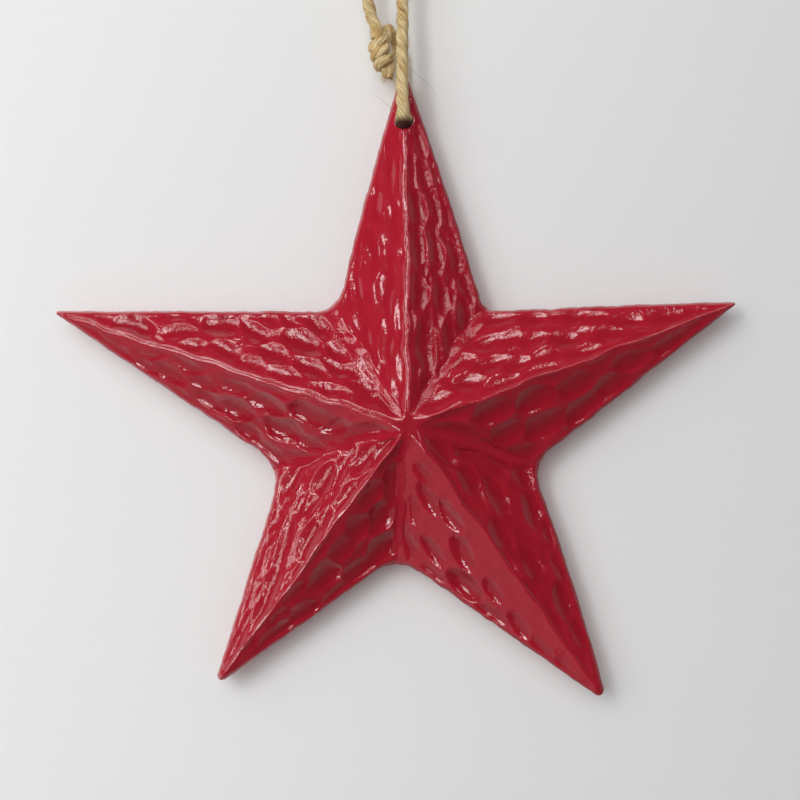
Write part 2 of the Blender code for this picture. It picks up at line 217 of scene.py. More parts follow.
# The deep gouge cuts of each facet, measured from the peak in the plan: place in
# millimetres to the right and up, turn in degrees, half the length and half the width in
# millimetres.
GOUGES = {
    "left_upper": (
        (-87.0, 28.2, -8, 3.4, 1.0), (-78.6, 27.7, -5, 3.6, 1.6), (-69.5, 25.0, -20, 6.2, 3.4),
        (-60.5, 28.0, -5, 3.9, 1.7), (-58.0, 23.4, 4, 5.5, 2.3), (-47.4, 25.5, -12, 5.5, 3.4),
        (-53.6, 20.0, -4, 4.9, 2.2), (-45.6, 18.7, -24, 5.5, 2.6), (-40.8, 28.0, -10, 3.4, 1.4),
        (-38.7, 23.4, -40, 6.0, 2.6), (-35.3, 26.9, -32, 3.9, 2.0), (-29.6, 25.8, -45, 3.6, 1.8),
        (-26.8, 27.7, -5, 2.9, 1.2), (-26.5, 21.0, -24, 6.2, 3.4), (-22.6, 25.3, -42, 4.9, 2.6),
        (-33.3, 17.9, -25, 5.7, 2.6), (-39.5, 15.6, -18, 5.7, 2.1), (-29.7, 12.5, -18, 6.2, 2.1),
        (-24.2, 14.0, -32, 5.2, 2.9), (-17.7, 18.4, -38, 4.7, 2.3), (-11.0, 10.0, -14, 6.2, 2.2),
        (-15.8, 13.8, -24, 7.0, 2.3), (-18.7, 8.7, -16, 6.2, 1.8), (-5.4, 5.7, -24, 6.5, 2.9),
        (-64.3, 21.8, -24, 4.4, 1.6), (-52.7, 16.1, -16, 3.9, 0.9),
    ),
    "left_lower": (
        (-81.8, 24.3, -28, 6.0, 1.2), (-74.0, 18.9, -32, 5.7, 1.7), (-66.6, 15.2, -28, 4.7, 2.0),
        (-60.7, 13.1, -30, 6.5, 2.3), (-55.2, 14.6, -24, 5.7, 2.0), (-56.9, 7.0, -36, 5.2, 1.8),
        (-51.2, 10.3, -24, 5.2, 2.3), (-49.4, 5.9, -30, 5.7, 2.6), (-43.0, 3.6, -30, 6.0, 3.1),
        (-43.2, 9.5, -20, 7.3, 2.3), (-35.0, 4.9, -22, 6.8, 2.9), (-40.2, -2.1, -34, 5.2, 2.9),
        (-31.1, -1.2, -25, 6.0, 3.4), (-35.3, -6.8, -38, 6.2, 2.2), (-23.6, 2.6, -20, 6.8, 3.2),
        (-25.4, -4.0, -20, 5.7, 2.6), (-17.5, -0.6, -6, 5.2, 2.6), (-13.2, -2.6, -4, 4.9, 2.3),
        (-47.6, 0.2, -32, 4.7, 1.6), (-27.2, -8.2, -8, 5.2, 1.8), (-8.9, -1.3, -8, 7.0, 2.3),
        (-33.2, 9.0, -18, 6.5, 1.8), (-21.9, 6.4, -18, 6.2, 1.6),
    ),
    "low_left_outer": (
        (-46.8, -61.5, 66, 4.7, 1.8), (-43.6, -56.4, 70, 6.0, 2.1), (-37.4, -47.8, 66, 6.5, 2.2),
        (-34.8, -40.8, 70, 6.5, 2.2), (-32.5, -34.1, 74, 5.7, 2.0), (-38.0, -31.5, 80, 7.0, 1.4),
        (-30.2, -27.4, 74, 7.3, 2.2), (-35.4, -21.6, 76, 6.0, 1.7), (-26.8, -20.2, 70, 4.7, 2.1),
        (-29.6, -14.0, 60, 5.2, 2.2), (-32.8, -16.9, 84, 4.7, 1.4), (-24.3, -27.9, 64, 7.8, 2.6),
        (-21.4, -24.5, 60, 6.0, 2.1), (-24.1, -19.3, 52, 4.7, 2.1), (-20.7, -13.2, 50, 6.2, 2.6),
        (-24.8, -9.7, 16, 5.2, 1.7), (-16.6, -11.0, 64, 5.7, 2.1), (-14.3, -6.2, -50, 4.4, 2.0),
        (-10.4, -7.9, 50, 6.0, 2.6), (-15.2, -17.9, 54, 6.5, 2.2), (-9.9, -13.8, 50, 7.0, 2.0),
        (-17.5, -25.5, 58, 7.3, 2.0), (-27.3, -37.8, 62, 7.3, 2.2), (-31.4, -46.5, 60, 6.0, 2.0),
        (-37.3, -54.5, 56, 5.2, 1.7), (-4.9, -5.5, 58, 6.2, 3.4), (-33.6, -11.2, 60, 3.4, 1.2),
        (-40.8, -42.8, 74, 5.7, 1.2), (-41.2, -50.4, 68, 4.4, 1.4),
    ),
    "low_left_inner": (
        (-44.0, -63.5, 42, 3.6, 1.2), (-38.5, -59.0, 38, 4.2, 1.8), (-31.7, -52.6, 35, 5.2, 2.9),
        (-25.7, -47.1, 38, 5.7, 3.1), (-28.0, -42.2, 50, 4.7, 2.1), (-19.9, -37.7, 42, 4.9, 3.9),
        (-16.2, -42.9, 38, 6.0, 2.9), (-11.5, -36.7, 44, 5.7, 3.6), (-15.9, -30.5, 54, 5.7, 3.4),
        (-12.1, -25.0, 50, 5.2, 3.6), (-5.5, -30.7, 50, 5.7, 3.6), (-6.7, -22.5, 60, 5.7, 3.6),
        (-8.4, -16.4, 54, 5.2, 3.1), (-3.2, -13.2, 76, 7.0, 3.4), (-3.9, -7.3, 60, 5.5, 2.9),
        (-5.8, -38.0, 26, 4.7, 1.8), (-21.7, -48.9, 36, 4.7, 1.8), (-33.6, -56.7, 36, 4.2, 1.6),
        (-1.4, -23.0, 84, 7.8, 2.3), (-22.7, -32.4, 54, 5.2, 1.8),
    ),
    "low_right_inner": (
        (3.6, -11.8, -62, 4.9, 1.8), (4.9, -18.0, -60, 6.0, 2.2), (1.6, -21.0, -72, 5.2, 1.8),
        (-0.9, -11.2, -86, 5.2, 1.6), (-0.6, -26.4, -76, 5.2, 2.1), (6.0, -31.6, -56, 5.5, 2.2),
        (10.2, -21.8, -54, 5.5, 2.5), (13.6, -31.6, -60, 6.0, 2.5), (14.1, -40.5, -44, 6.5, 3.0),
        (6.4, -37.9, -38, 5.2, 1.8), (21.7, -41.8, -48, 4.9, 2.1), (21.1, -48.2, -38, 6.5, 2.1),
        (28.3, -50.9, -52, 5.2, 2.1), (34.3, -57.0, -46, 5.5, 1.8), (40.4, -62.3, -42, 5.2, 1.6),
        (10.0, -43.5, -36, 4.9, 1.6), (29.3, -57.3, -36, 5.5, 1.4), (0.7, -31.3, -82, 4.2, 2.1),
        (46.1, -67.3, -42, 3.9, 1.0),
    ),
    "low_right_outer": (
        (8.1, -5.3, -48, 6.5, 2.9), (15.2, -12.7, -54, 6.5, 2.9), (15.7, -20.4, -58, 6.0, 2.3),
        (22.3, -16.7, -60, 7.3, 2.9), (23.4, -27.0, -56, 6.5, 2.9), (29.1, -11.6, -68, 6.5, 2.9),
        (31.6, -20.9, -66, 7.3, 2.9), (35.7, -26.7, -70, 5.2, 2.1), (24.4, -34.3, -58, 6.2, 2.3),
        (31.4, -34.5, -64, 7.3, 2.9), (38.8, -36.6, -70, 5.7, 2.1), (31.2, -42.5, -60, 6.5, 2.3),
        (39.4, -44.2, -62, 6.5, 2.9), (43.7, -52.4, -68, 6.2, 2.3), (38.6, -54.1, -60, 6.0, 2.0),
        (44.6, -61.2, -64, 5.7, 1.8), (47.8, -66.6, -64, 3.9, 1.3), (21.6, -6.9, -28, 7.0, 3.1),
        (10.1, -13.0, -56, 5.2, 1.8),
    ),
    "right_lower": (
        (10.0, 2.9, 14, 7.0, 2.3), (20.0, 3.2, 20, 6.5, 3.6), (10.6, -1.8, -6, 7.3, 2.9),
        (24.1, -2.0, 16, 6.2, 3.4), (31.1, 5.9, 25, 6.5, 3.6), (34.1, -0.5, 30, 7.3, 3.9),
        (41.5, 10.0, 25, 6.8, 3.6), (43.8, 3.6, 34, 6.8, 3.4), (51.6, 9.3, 30, 6.5, 3.4),
        (47.0, 15.1, 20, 5.7, 2.1), (56.2, 16.0, 25, 6.5, 3.1), (60.5, 11.9, 34, 5.2, 2.1),
        (66.9, 20.4, 30, 6.5, 2.9), (73.2, 24.8, 28, 5.2, 2.0), (79.0, 28.5, 28, 4.4, 1.3),
        (59.7, 20.5, 22, 5.5, 1.7), (28.0, -7.0, 8, 6.0, 2.9), (15.3, -6.8, -22, 6.5, 3.1),
        (36.1, 11.5, 20, 6.0, 1.8),
    ),
    "right_upper": (
        (23.2, 27.4, 5, 6.0, 2.5), (31.7, 27.1, 5, 5.2, 2.3), (38.2, 27.9, 5, 3.9, 2.0),
        (42.9, 27.7, 10, 4.2, 2.2), (47.7, 27.1, 5, 5.2, 2.1), (20.6, 21.0, 16, 5.2, 2.2),
        (25.3, 21.6, 14, 4.4, 2.1), (32.2, 21.6, 10, 5.5, 2.2), (39.8, 21.8, 16, 5.2, 2.7),
        (44.1, 23.7, 10, 3.6, 1.8), (51.0, 23.1, 12, 6.5, 2.7), (20.4, 15.1, 18, 6.2, 2.3),
        (35.2, 17.4, 15, 6.0, 2.2), (27.0, 15.3, 15, 4.9, 2.2), (14.2, 10.5, 16, 6.0, 2.6),
        (8.1, 6.2, 20, 6.5, 2.2), (23.2, 10.5, 18, 7.0, 2.1), (33.5, 13.8, 18, 6.5, 1.7),
        (44.4, 18.7, 15, 6.5, 2.1), (55.9, 26.6, 5, 5.5, 2.3), (65.8, 27.6, 2, 6.5, 2.9),
        (59.6, 23.1, 16, 6.2, 1.8), (73.7, 29.0, 8, 5.5, 1.7), (80.1, 30.3, 8, 3.9, 1.0),
        (13.1, 15.6, 10, 4.7, 2.3), (17.7, 24.5, 30, 3.9, 1.8),
    ),
    "top_right": (
        (3.6, 78.6, -74, 3.0, 1.2), (2.4, 84.2, -78, 2.8, 0.9), (4.9, 74.6, -72, 3.0, 1.0),
        (3.0, 72.7, -76, 6.0, 2.0), (1.4, 64.2, -86, 7.3, 1.4), (4.3, 63.2, -78, 6.0, 2.0),
        (7.7, 64.6, -72, 6.2, 1.7), (2.7, 54.6, -82, 6.2, 2.5), (6.6, 56.2, -76, 7.0, 2.0),
        (10.3, 53.6, -72, 7.0, 1.7), (2.7, 44.6, -86, 7.0, 2.5), (7.6, 43.9, -80, 6.5, 2.3),
        (12.8, 42.1, -75, 6.5, 2.2), (3.1, 32.8, -88, 6.8, 2.6), (8.6, 32.5, -85, 6.5, 2.5),
        (4.6, 19.5, -88, 8.3, 3.0), (11.1, 20.4, -80, 7.0, 2.6), (15.1, 26.5, -78, 7.0, 2.9),
        (15.2, 35.4, -72, 6.2, 2.1), (5.1, 9.9, -86, 6.0, 2.6), (9.7, 12.8, -60, 5.2, 1.8),
        (12.4, 49.0, -74, 4.4, 1.3), (19.4, 31.1, -66, 4.7, 1.6), (1.1, 24.0, -88, 7.8, 1.4),
    ),
    "top_left": (
        (-4.0, 76.5, -80, 4.0, 1.1), (-2.8, 83.5, -80, 3.2, 0.8),
        (-5.0, 66.4, -80, 8.6, 2.0), (-8.4, 56.6, -82, 8.6, 2.0), (-4.0, 52.0, -87, 9.9, 2.0),
        (-1.9, 62.8, -88, 11.7, 1.3), (-9.1, 44.5, -84, 8.3, 2.2), (-5.0, 39.0, -86, 11.7, 2.1),
        (-1.4, 41.4, -89, 15.6, 1.4), (-5.7, 32.9, -88, 7.8, 2.5), (-12.7, 32.2, -82, 8.8, 2.0),
        (-16.2, 34.5, -72, 8.3, 1.6), (-10.9, 21.7, -68, 8.6, 2.2), (-4.9, 20.3, -85, 8.6, 2.3),
        (-6.2, 11.0, -80, 6.2, 2.0), (-1.7, 20.2, -89, 14.3, 1.7), (-2.4, 7.4, -72, 6.0, 1.6),
    ),
}

# The twine's route: loop over the hook, sling through the star, lead back up to the knot.
LOOP_ROUTE = (
    (-0.00040, -0.00455, -0.0769),
    (-0.00040, -0.00420, -0.0720),
    (-0.00035, -0.00350, -0.0660),
    (-0.00030, -0.00280, -0.0600),
    (0.00010, -0.00200, -0.0500),
    (0.00120, -0.00120, -0.0400),
    (0.00290, -0.00060, -0.0300),
    (0.00470, -0.00020, -0.0200),
    (0.00580, 0.00000, -0.0110),
    (0.00490, 0.00000, -0.0034),
    (0.00000, 0.00000, 0.0016),
    (-0.00540, 0.00000, -0.0029),
    (-0.00800, -0.00010, -0.0110),
    (-0.00960, -0.00030, -0.0220),
    (-0.01030, -0.00050, -0.0340),
    (-0.01020, -0.00080, -0.0460),
    (-0.00960, -0.00110, -0.0570),
    (-0.00890, -0.00130, -0.0624),
    (-0.00810, -0.00140, -0.0650),
    (-0.00720, -0.00140, -0.0676),
    (-0.00690, -0.00140, -0.0702),
)
SLING_ROUTE = (
    (-0.00040, -0.00475, -0.0788),
    (-0.00040, -0.00525, -0.0806),
    (-0.00040, -0.00580, -0.0828),
    (-0.00035, -0.00640, -0.0856),
    (-0.00030, -0.00700, -0.0876),
    (-0.00020, -0.00735, -0.0892),
    (-0.00010, -0.00667, -0.0910),
    (0.00000, -0.00490, -0.0917),
    (0.00000, -0.00250, -0.09175),
    (0.00000, 0.00000, -0.09175),
    (0.00000, 0.00225, -0.0917),
    (0.00000, 0.00381, -0.09106),
    (-0.00010, 0.00447, -0.0895),
    (-0.00020, 0.00450, -0.0870),
    (-0.00030, 0.00450, -0.0840),
    (-0.00040, 0.00450, -0.0796),
)
LEAD_ROUTE = (
    (-0.00050, 0.00450, -0.0765),
    (-0.00090, 0.00460, -0.0735),
    (-0.00190, 0.00460, -0.0703),
    (-0.00320, 0.00400, -0.0676),
    (-0.00420, 0.00270, -0.0668),
    (-0.00445, 0.00160, -0.0681),
    (-0.00445, 0.00140, -0.0702),
)
# The knot: its middle line, how far the wrapping strand's middle lies from it, and where the
# two strands enter it and end.
KNOT_TOP = np.array((-0.0068, -0.0010, -0.0700))
KNOT_BOTTOM = np.array((-0.0048, -0.0006, -0.0780))
KNOT_RADIUS = 0.0016
KNOT_ENTRIES = ((-0.0072, -0.0014, -0.0672), (-0.0044, 0.0016, -0.0684))
KNOT_ENDS = ((-0.0032, -0.0004, -0.0801), (-0.0048, -0.0012, -0.0802))
# Two long hairs of the twine, each from its root to its tip.
HAIRS = (
    ((-0.0016, -0.0072, -0.0912), (-0.0075, -0.0070, -0.0845)),
    ((0.0012, -0.0050, -0.0784), (0.0089, -0.0060, -0.0847)),
)
# Where the twine swells in the hole, and how far the swelling reaches.
SWELLING_MIDDLE = (0.0, -0.0030, -0.0925)
SWELLING_REACH = 0.0040
# A ply's turn at the twine's start, and the length over which its fibres turn once.
FIRST_PLY_TURN = 0.7
FIBRE_LAY = 0.011
# Unevenness of the plies: in radians of their turn, and as shares of their radius.
LAY_WAVER = Wave(0.24, 0.0210)
PLY_SWAY = Wave(0.05, 0.0060)
LUMPS = Wave(0.045, 0.0007)
# The twine takes painted shade below this height and in front of this depth, where it goes into the
# hole; fully so a fade further.
SHADED_BELOW = -0.0912
BELOW_FADE = 0.0014
SHADED_BEFORE = 0.0040
BEFORE_FADE = 0.0015
# A stray fibre's root lies this share of the twine's diameter from its middle.
ROOT_SHARE = 0.44
# Fibres' lengths: the shortest, how much longer others can be, and those at the cut ends.
SHORTEST_FIBRE = 0.0012
FIBRE_SPREAD = 0.0028
FRAYED_LENGTHS = (0.0007, 0.0019)
# Fibres longer than this curl less, and those longer than the next are coarse, dark hairs.
LIMP_FIBRE = 0.0040
LONG_FIBRE = 0.0045


def metres(name, description, default):
    return bpy.props.FloatProperty(
        name=name, description=description, default=default, unit="LENGTH"
    )


def plain_number(name, description, default, **limits):
    return bpy.props.FloatProperty(
        name=name, description=description, default=default, **limits
    )


def whole_number(name, description, default, least=0):
    return bpy.props.IntProperty(
        name=name, description=description, default=default, min=least
    )


def shade(name, description, default):
    return bpy.props.FloatVectorProperty(
        name=name, description=description, default=default, subtype="COLOR", min=0, max=1
    )


class OrnamentStage(bpy.types.PropertyGroup):
    camera_distance: metres("Camera distance", "From the camera to the star's rim", 0.38)
    picture_width: metres("Picture width", "Width of the picture at the star's rim", 0.208)
    camera_side: metres("Camera side", "Sideways place of the camera", -0.00096)
    camera_height: metres("Camera height", "Height of the camera", -0.1638)
    wall_place: metres("Wall place", "From the star's middle plane back to the wall", 0.0068)
    wall_size: metres("Wall size", "Width and height of the wall", 4.0)
    wall_tone: plain_number("Wall tone", "How pale the wall is", 0.85, min=0, max=1)
    front_power: plain_number("Front light", "Power of the wide soft light in front", 13.6)
    key_power: plain_number("Key lamp", "Power of the tall lamp in front on the left", 3.4)
    behind_power: plain_number("Light behind", "Power of the soft lamp on the star's back", 5.5)
    core_power: plain_number("Bright core", "Power of the small bright lamp on the left", 0.7)
    above_power: plain_number("Lamp above", "Power of the narrow lamp above the camera", 3.0)
    high_power: plain_number("High lamp", "Power of the lamp high on the left", 1.9)
    overhead_power: plain_number("Overhead lamp", "Power of the lamp overhead", 2.6)
    window_power: plain_number("Window", "Power of the narrow window on the left", 1.5)
    door_power: plain_number("Door", "Power of the low window on the left", 0.85)
    side_power: plain_number("Side wall", "Power of the dim glow high on the right", 2.7)
    glint_power: plain_number("Glints", "Power of each small lamp left and right", 0.9)
    low_power: plain_number("Low lamp", "Power of the lamp in front, low on the left", 3.4)
    table_power: plain_number("Pale table", "Power of the glow from below on the left", 1.1)
    floor_power: plain_number("Floor", "Power of the brown glow from below on the right", 0.16)
    sky_strength: plain_number("Room light", "Strength of the light from all round", 0.25)
    sky_gloss: plain_number("Room gloss", "How bright the room is in reflections", 0.05)
    sky_seen: plain_number("Room seen", "How bright the room is behind all else", 0.82)


class OrnamentStar(bpy.types.PropertyGroup):
    edge_thickness: metres("Edge thickness", "Thickness of the star at its edge", 0.0050)
    peak_relief: metres("Peak relief", "How far the peak stands out from the edge", 0.0190)
    peak_wear: metres("Peak wear", "How much of the peak's point is cut off", 0.0013)
    rim_width: metres("Rim width", "Width of the rounded front edge", 0.0011)
    rim_drop: metres("Rim drop", "How far the rounded front edge falls back", 0.0017)
    back_ease: metres("Back ease", "How far the back edge is eased", 0.0004)
    valley_round: metres(
        "Valley rounding", "How far the bottoms of the valleys are rounded", 0.00015
    )
    edge_waver: metres(
        "Edge waver", "How far the outline wanders from straight lines", 0.00030
    )
    paint_flow: metres(
        "Paint flow", "How far the paint rounds the edges between the cuts", 0.00005
    )
    hand_wander: metres(
        "Hand wander", "How far ridges and valleys wander from straight lines", 0.00045
    )
    hole_diameter: metres("Hole diameter", "Diameter of the drilled hole", 0.0047)
    paint: shade("Paint", "Paint between the cuts", (0.46, 0.016, 0.036))
    # Painted shade: the paint in the cuts is darker, standing for the shade in them as well as
    # thicker paint.
    cut_paint_and_shade: shade("Paint in cuts", "Paint halfway down the cuts", (0.40, 0.009, 0.025))
    deep_paint_and_shade: shade("Deep paint", "Paint in the deepest cuts", (0.32, 0.006, 0.018))
    swell_paint: shade("Thick paint", "Paint where the film swells", (0.37, 0.007, 0.020))
    # Painted highlight: pale paint along the edges that face up and left, towards the light.
    highlight_paint: shade("Thin paint", "Paint along the pale edges", (0.95, 0.60, 0.60))
    # Painted shade: the hole's wood grain is darkened for the shade inside the hole.
    shaded_dark_wood: shade("Dark wood", "Dark grain inside the hole", (0.04, 0.012, 0.008))
    shaded_light_wood: shade("Light wood", "Light grain inside the hole", (0.14, 0.05, 0.025))
    steps_along: whole_number("Steps along", "Mesh steps along each arm", 190, 8)
    steps_across: whole_number("Steps across", "Mesh steps across each facet's middle", 56, 4)
    seed: whole_number("Seed", "Chooses the cuts' places", 11)


class OrnamentTwine(bpy.types.PropertyGroup):
    diameter: metres("Diameter", "Diameter of the twine", 0.0032)
    lay: metres("Lay", "Length of one full turn of a ply around the twine", 0.0130)
    ply_share: plain_number("Ply share", "Radius of a ply as a share of the twine's radius", 0.66)
    knot_strand: metres("Knot strand", "Diameter of the tight twine in the knot", 0.0029)
    step: metres("Step", "Distance between rings of a ply", 0.0004)
    sides: whole_number("Sides", "Sides of a ply", 16, 6)
    fibres: whole_number("Stray fibres", "How many fibres stand out", 900)
    knot_fibres: whole_number("Knot fibres", "How many fibres stand out of the knot", 560)
    fibre_radius: metres("Fibre radius", "Radius of a stray fibre", 0.000030)
    gap: shade("Gaps", "Shade between the fibres", (0.22, 0.13, 0.055))
    straw: shade("Straw", "The lower fibres", (0.62, 0.48, 0.25))
    pale_straw: shade("Pale straw", "The upper fibres", (0.82, 0.67, 0.37))
    bright_straw: shade("Bright straw", "The brightest fibres", (0.93, 0.82, 0.53))
    fleck: shade("Flecks", "Dark flecks of bark", (0.22, 0.12, 0.045))
    brown: shade("Brown", "What browner stretches are tinted with", (0.80, 0.66, 0.50))
    # Painted shade on the twine inside the hole, also the long hairs' own dark colour.
    hole_shade_and_hair_colour: shade("Stain", "Stain where the twine goes into the hole", (0.075, 0.018, 0.009))
    seed: whole_number("Seed", "Chooses the fibres' places", 5)


def linked(obj):
    bpy.context.scene.collection.objects.link(obj)
    return obj


def set_attribute(mesh, name, values):
    """Puts a number, or three of them, on each of the mesh's points."""
    kind, key = ("FLOAT", "value") if values.ndim == 1 else ("FLOAT_VECTOR", "vector")
    mesh.attributes.new(name, kind, "POINT").data.foreach_set(key, values.ravel())


def unit_rows(vectors):
    return vectors / np.linalg.norm(vectors, axis=-1, keepdims=True)


def waves(points, length, seed):
    """Smooth noise, about -1 to 1: the sum of sine waves of random direction and phase."""
    rng = np.random.default_rng(seed)
    count = 20
    direction = rng.normal(size=(count, points.shape[-1]))
    wave = unit_rows(direction) * (2 * math.pi / (length * rng.uniform(0.6, 1.7, (count, 1))))
    return np.sin(points @ wave.T + rng.uniform(0, 6.3, count)).sum(-1) / math.sqrt(2 * count)


def polar(corners):
    """Places in the plan of corners that are given by angle and reach."""
    angle = np.radians(corners[:, 0])
    return np.stack([np.cos(angle), np.sin(angle)], -1) * corners[:, 1:2]


def facet_corners(facet):
    """The sharp tip and the sharp notch that the facet lies between."""
    return polar(ARM_TIPS)[facet.arm], polar(NOTCHES)[facet.notch]


def left_of(way):
    """The direction a quarter turn to the left of a way in the plan."""
    return np.array([-way[1], way[0]])


def normal_towards(line, target):
    """The unit normal of a line in the plan, on the side where the target lies."""
    normal = unit_rows(line @ QUARTER_TURN)
    return normal * np.sign(normal @ target)


def outline_reach(settings):
    """The outline's distance from the peak as angles and reaches, for interpolation.

    Each corner is a circular arc that touches both its edges, and each edge bows outwards
    by a parabola. The knife's waver moves every point a little outwards or inwards.
    """
    corners = np.stack([ARM_TIPS, NOTCHES], 1).reshape(-1, 3)
    places = polar(corners)
    before = unit_rows(np.roll(places, 1, 0) - places)
    after = unit_rows(np.roll(places, -1, 0) - places)
    half = np.arccos(np.clip((before * after).sum(-1), -1, 1)) / 2
    centre = places + unit_rows(before + after) * (corners[:, 2] / np.sin(half))[:, None]
    touch = (corners[:, 2] / np.tan(half))[:, None]
    start, end = places + before * touch, places + after * touch
    share = np.linspace(0, 1, ARC_POINTS)[None, :, None]
    spoke = (start - centre)[:, None] * (1 - share) + (end - centre)[:, None] * share
    arcs = centre[:, None] + unit_rows(spoke) * corners[:, 2][:, None, None]

    along = np.linspace(0, 1, EDGE_POINTS)[1:-1][None, :, None]
    following = np.roll(start, -1, 0)
    edges = end[:, None] * (1 - along) + following[:, None] * along
    bows = np.zeros(len(corners))
    for facet in FACETS:
        bows[2 * facet.arm if facet.arm == facet.notch else 2 * facet.notch + 1] = facet.bow
    normal = unit_rows((following - end) @ QUARTER_TURN)[:, None]
    normal *= np.sign((normal * places[:, None]).sum(-1, keepdims=True))
    edges = edges + normal * bows[:, None, None] * 4 * along * (1 - along)

    ring = np.concatenate([arcs, edges], 1).reshape(-1, 2)
    waver = sum(
        wave.height * waves(ring, wave.length, settings.seed + 8 + number)
        for number, wave in enumerate(EDGE_WAVES)
    )
    ring = ring + unit_rows(ring) * (waver * settings.edge_waver)[:, None]
    angle = np.arctan2(ring[:, 1], ring[:, 0])
    order = np.argsort(angle)
    return angle[order], np.linalg.norm(ring, axis=1)[order]


def facet_grid(facet, settings):
    """One facet's points as shares of the way to its tip and to its notch, with its faces.

    Rows across the arm are evenly spaced. Columns lie at fixed distances from the ridge and
    from the rim, and evenly between them. Where the arm gets narrow every second column
    ends, and three triangles join two fine squares to one coarse one.
    """
    notch = np.linalg.norm(polar(NOTCHES)[facet.notch])
    near, rim = RIDGE_LINES / RIDGE_SHARE, RIM_LINES / RIM_SHARE
    squeezed = 1.3 * (near[-1] + rim[0])
    rows = settings.steps_along
    ends = [0, *(int(rows * share) for share in COARSER_FROM), rows + 1]
    columns = settings.steps_across
    along, across, quads, triangles, count, before = [], [], [], [], 0, None
    for start, end in zip(ends, ends[1:]):
        share = np.arange(start, end) / rows
        width = (1 - share) * notch
        fit = width / (width + squeezed)
        first, last = near * fit[:, None], width[:, None] - rim * fit[:, None]
        middle = first[:, -1:] + (last[:, :1] - first[:, -1:]) * np.linspace(0, 1, columns + 1)
        grid = np.concatenate([first[:, :-1], middle, last[:, 1:]], 1) / notch
        index = np.arange(grid.size).reshape(grid.shape) + count
        count += grid.size
        along.append(np.repeat(share, grid.shape[1]))
        across.append(grid.ravel())
        pairs = [(index[:-1], index[1:])]
        if before is not None:
            fine, coarse = before, index[0]
            side, other = len(near) - 1, len(rim) - 1
            pairs += [
                (fine[None, : side + 1], coarse[None, : side + 1]),
                (fine[None, -other - 1 :], coarse[None, -other - 1 :]),
            ]
            fine, coarse = fine[side:-other], coarse[side:-other]
            triangles += [
                np.stack([fine[:-2:2], fine[1::2], coarse[:-1]], -1),
                np.stack([fine[1::2], fine[2::2], coarse[1:]], -1),
                np.stack([fine[1::2], coarse[1:], coarse[:-1]], -1),
            ]
        for low, high in pairs:
            square = np.stack([low[:, :-1], high[:, :-1], high[:, 1:], low[:, 1:]], -1)
            quads.append(square.reshape(-1, 4))
        before = index[-1]
        columns //= 2
    return tuple(np.concatenate(parts) for parts in (along, across, quads, triangles))


def room_for_cuts(facet, places, ways, half_lengths, half_widths, rng):
    """Places of the shallow cuts that fill the room beside the deep ones.

    They stand on an even grid, each a little out of line, and keep off the ridge, the
    valley, the rim and the deep cuts. How far along the arm each lies comes with them.
    """
    tip, notch = facet_corners(facet)
    ridge = tip / np.linalg.norm(tip)
    side = unit_rows(notch - ridge * (notch @ ridge))
    far, out = np.meshgrid(
        np.arange(0.0, np.linalg.norm(tip), facet.length * FILL_SPACING),
        np.arange(0.0, WIDEST_FACET, facet.width * FILL_SPACING),
        indexing="ij",
    )
    far = far.ravel() + rng.normal(0, OUT_OF_LINE[0] * facet.length, far.size)
    out = out.ravel() + rng.normal(0, OUT_OF_LINE[1] * facet.width, out.size)
    place = ridge * far[:, None] + side * out[:, None]
    room = (notch - place) @ normal_towards(tip - notch, notch) > RIM_MARGIN
    room &= out > RIDGE_MARGIN
    room &= place @ normal_towards(notch, tip) > VALLEY_MARGIN
    away = place[:, None] - places
    ahead = (away * ways).sum(-1) / half_lengths
    aside = (away[..., 0] * ways[:, 1] - away[..., 1] * ways[:, 0]) / half_widths
    room &= (ahead**2 + aside**2).min(1) > DEEP_MARGIN
    return place[room], far[room]


def cuts_of(facet, settings):
    """The facet's gouge cuts as an array: place, direction, half sizes and depth of each.

    The listed deep cuts come first, each as deep as its gouge's arc is at its width. Rows
    of shallow ones, shorter towards the tip, fill the room between them. Each cut points
    away from the peak.
    """
    rng = np.random.default_rng(settings.seed * 100 + FACETS.index(facet))
    listed = np.array(GOUGES[facet.name]) * (1e-3, 1e-3, 1.0, 1e-3, 1e-3)
    places, half_lengths, half_widths = listed[:, :2], listed[:, 3], listed[:, 4]
    arcs = half_widths**2 / (2 * facet.gouge)
    depths = arcs * rng.uniform(*DEEP_SPREAD, len(listed)) + EXTRA_DEPTH
    turns = np.radians(listed[:, 2])
    ways = np.stack([np.cos(turns), np.sin(turns)], -1)

    place, far = room_for_cuts(facet, places, ways, half_lengths, half_widths, rng)
    count = len(place)
    tip, _ = facet_corners(facet)
    arm = np.linalg.norm(tip)
    ridge = tip / arm
    turn = math.atan2(*ridge[::-1]) + rng.normal(0, FILL_TURN, count)
    places = np.concatenate([places, place])
    ways = np.concatenate([ways, np.stack([np.cos(turn), np.sin(turn)], -1)])
    ways = ways * np.where((ways * places).sum(-1) < 0, -1, 1)[:, None]
    shrink = 1 - FILL_SHRINK * far / arm
    width = facet.width * shrink * rng.uniform(*FILL_WIDTHS, count)
    half_widths = np.concatenate([half_widths, width])
    length = facet.length * shrink * rng.uniform(*FILL_LENGTHS, count)
    half_lengths = np.concatenate([half_lengths, length])
    depths = np.concatenate([depths, facet.depth * rng.uniform(*FILL_DEPTHS, count)])
    entries, runouts = half_lengths * (1 - facet.skew), half_lengths * (1 + facet.skew)
    return np.column_stack([places, ways, half_widths, entries, runouts, depths])


def softened(heights, flow):
    """Smooth minimum over the last axis; a negative flow gives the smooth maximum."""
    powers = -heights / flow
    top = powers.max(-1, keepdims=True)
    return -flow * (np.log(np.exp(powers - top).sum(-1)) + top[..., 0])


def uncut_planes(plan, settings):
    """The ten facets' planes: full relief at the peak, and none on the line tip to notch."""
    slopes = [np.linalg.solve(np.stack(facet_corners(facet)), np.ones(2)) for facet in FACETS]
    return np.stack([settings.peak_relief * (1 - plan @ slope) for slope in slopes], 1)


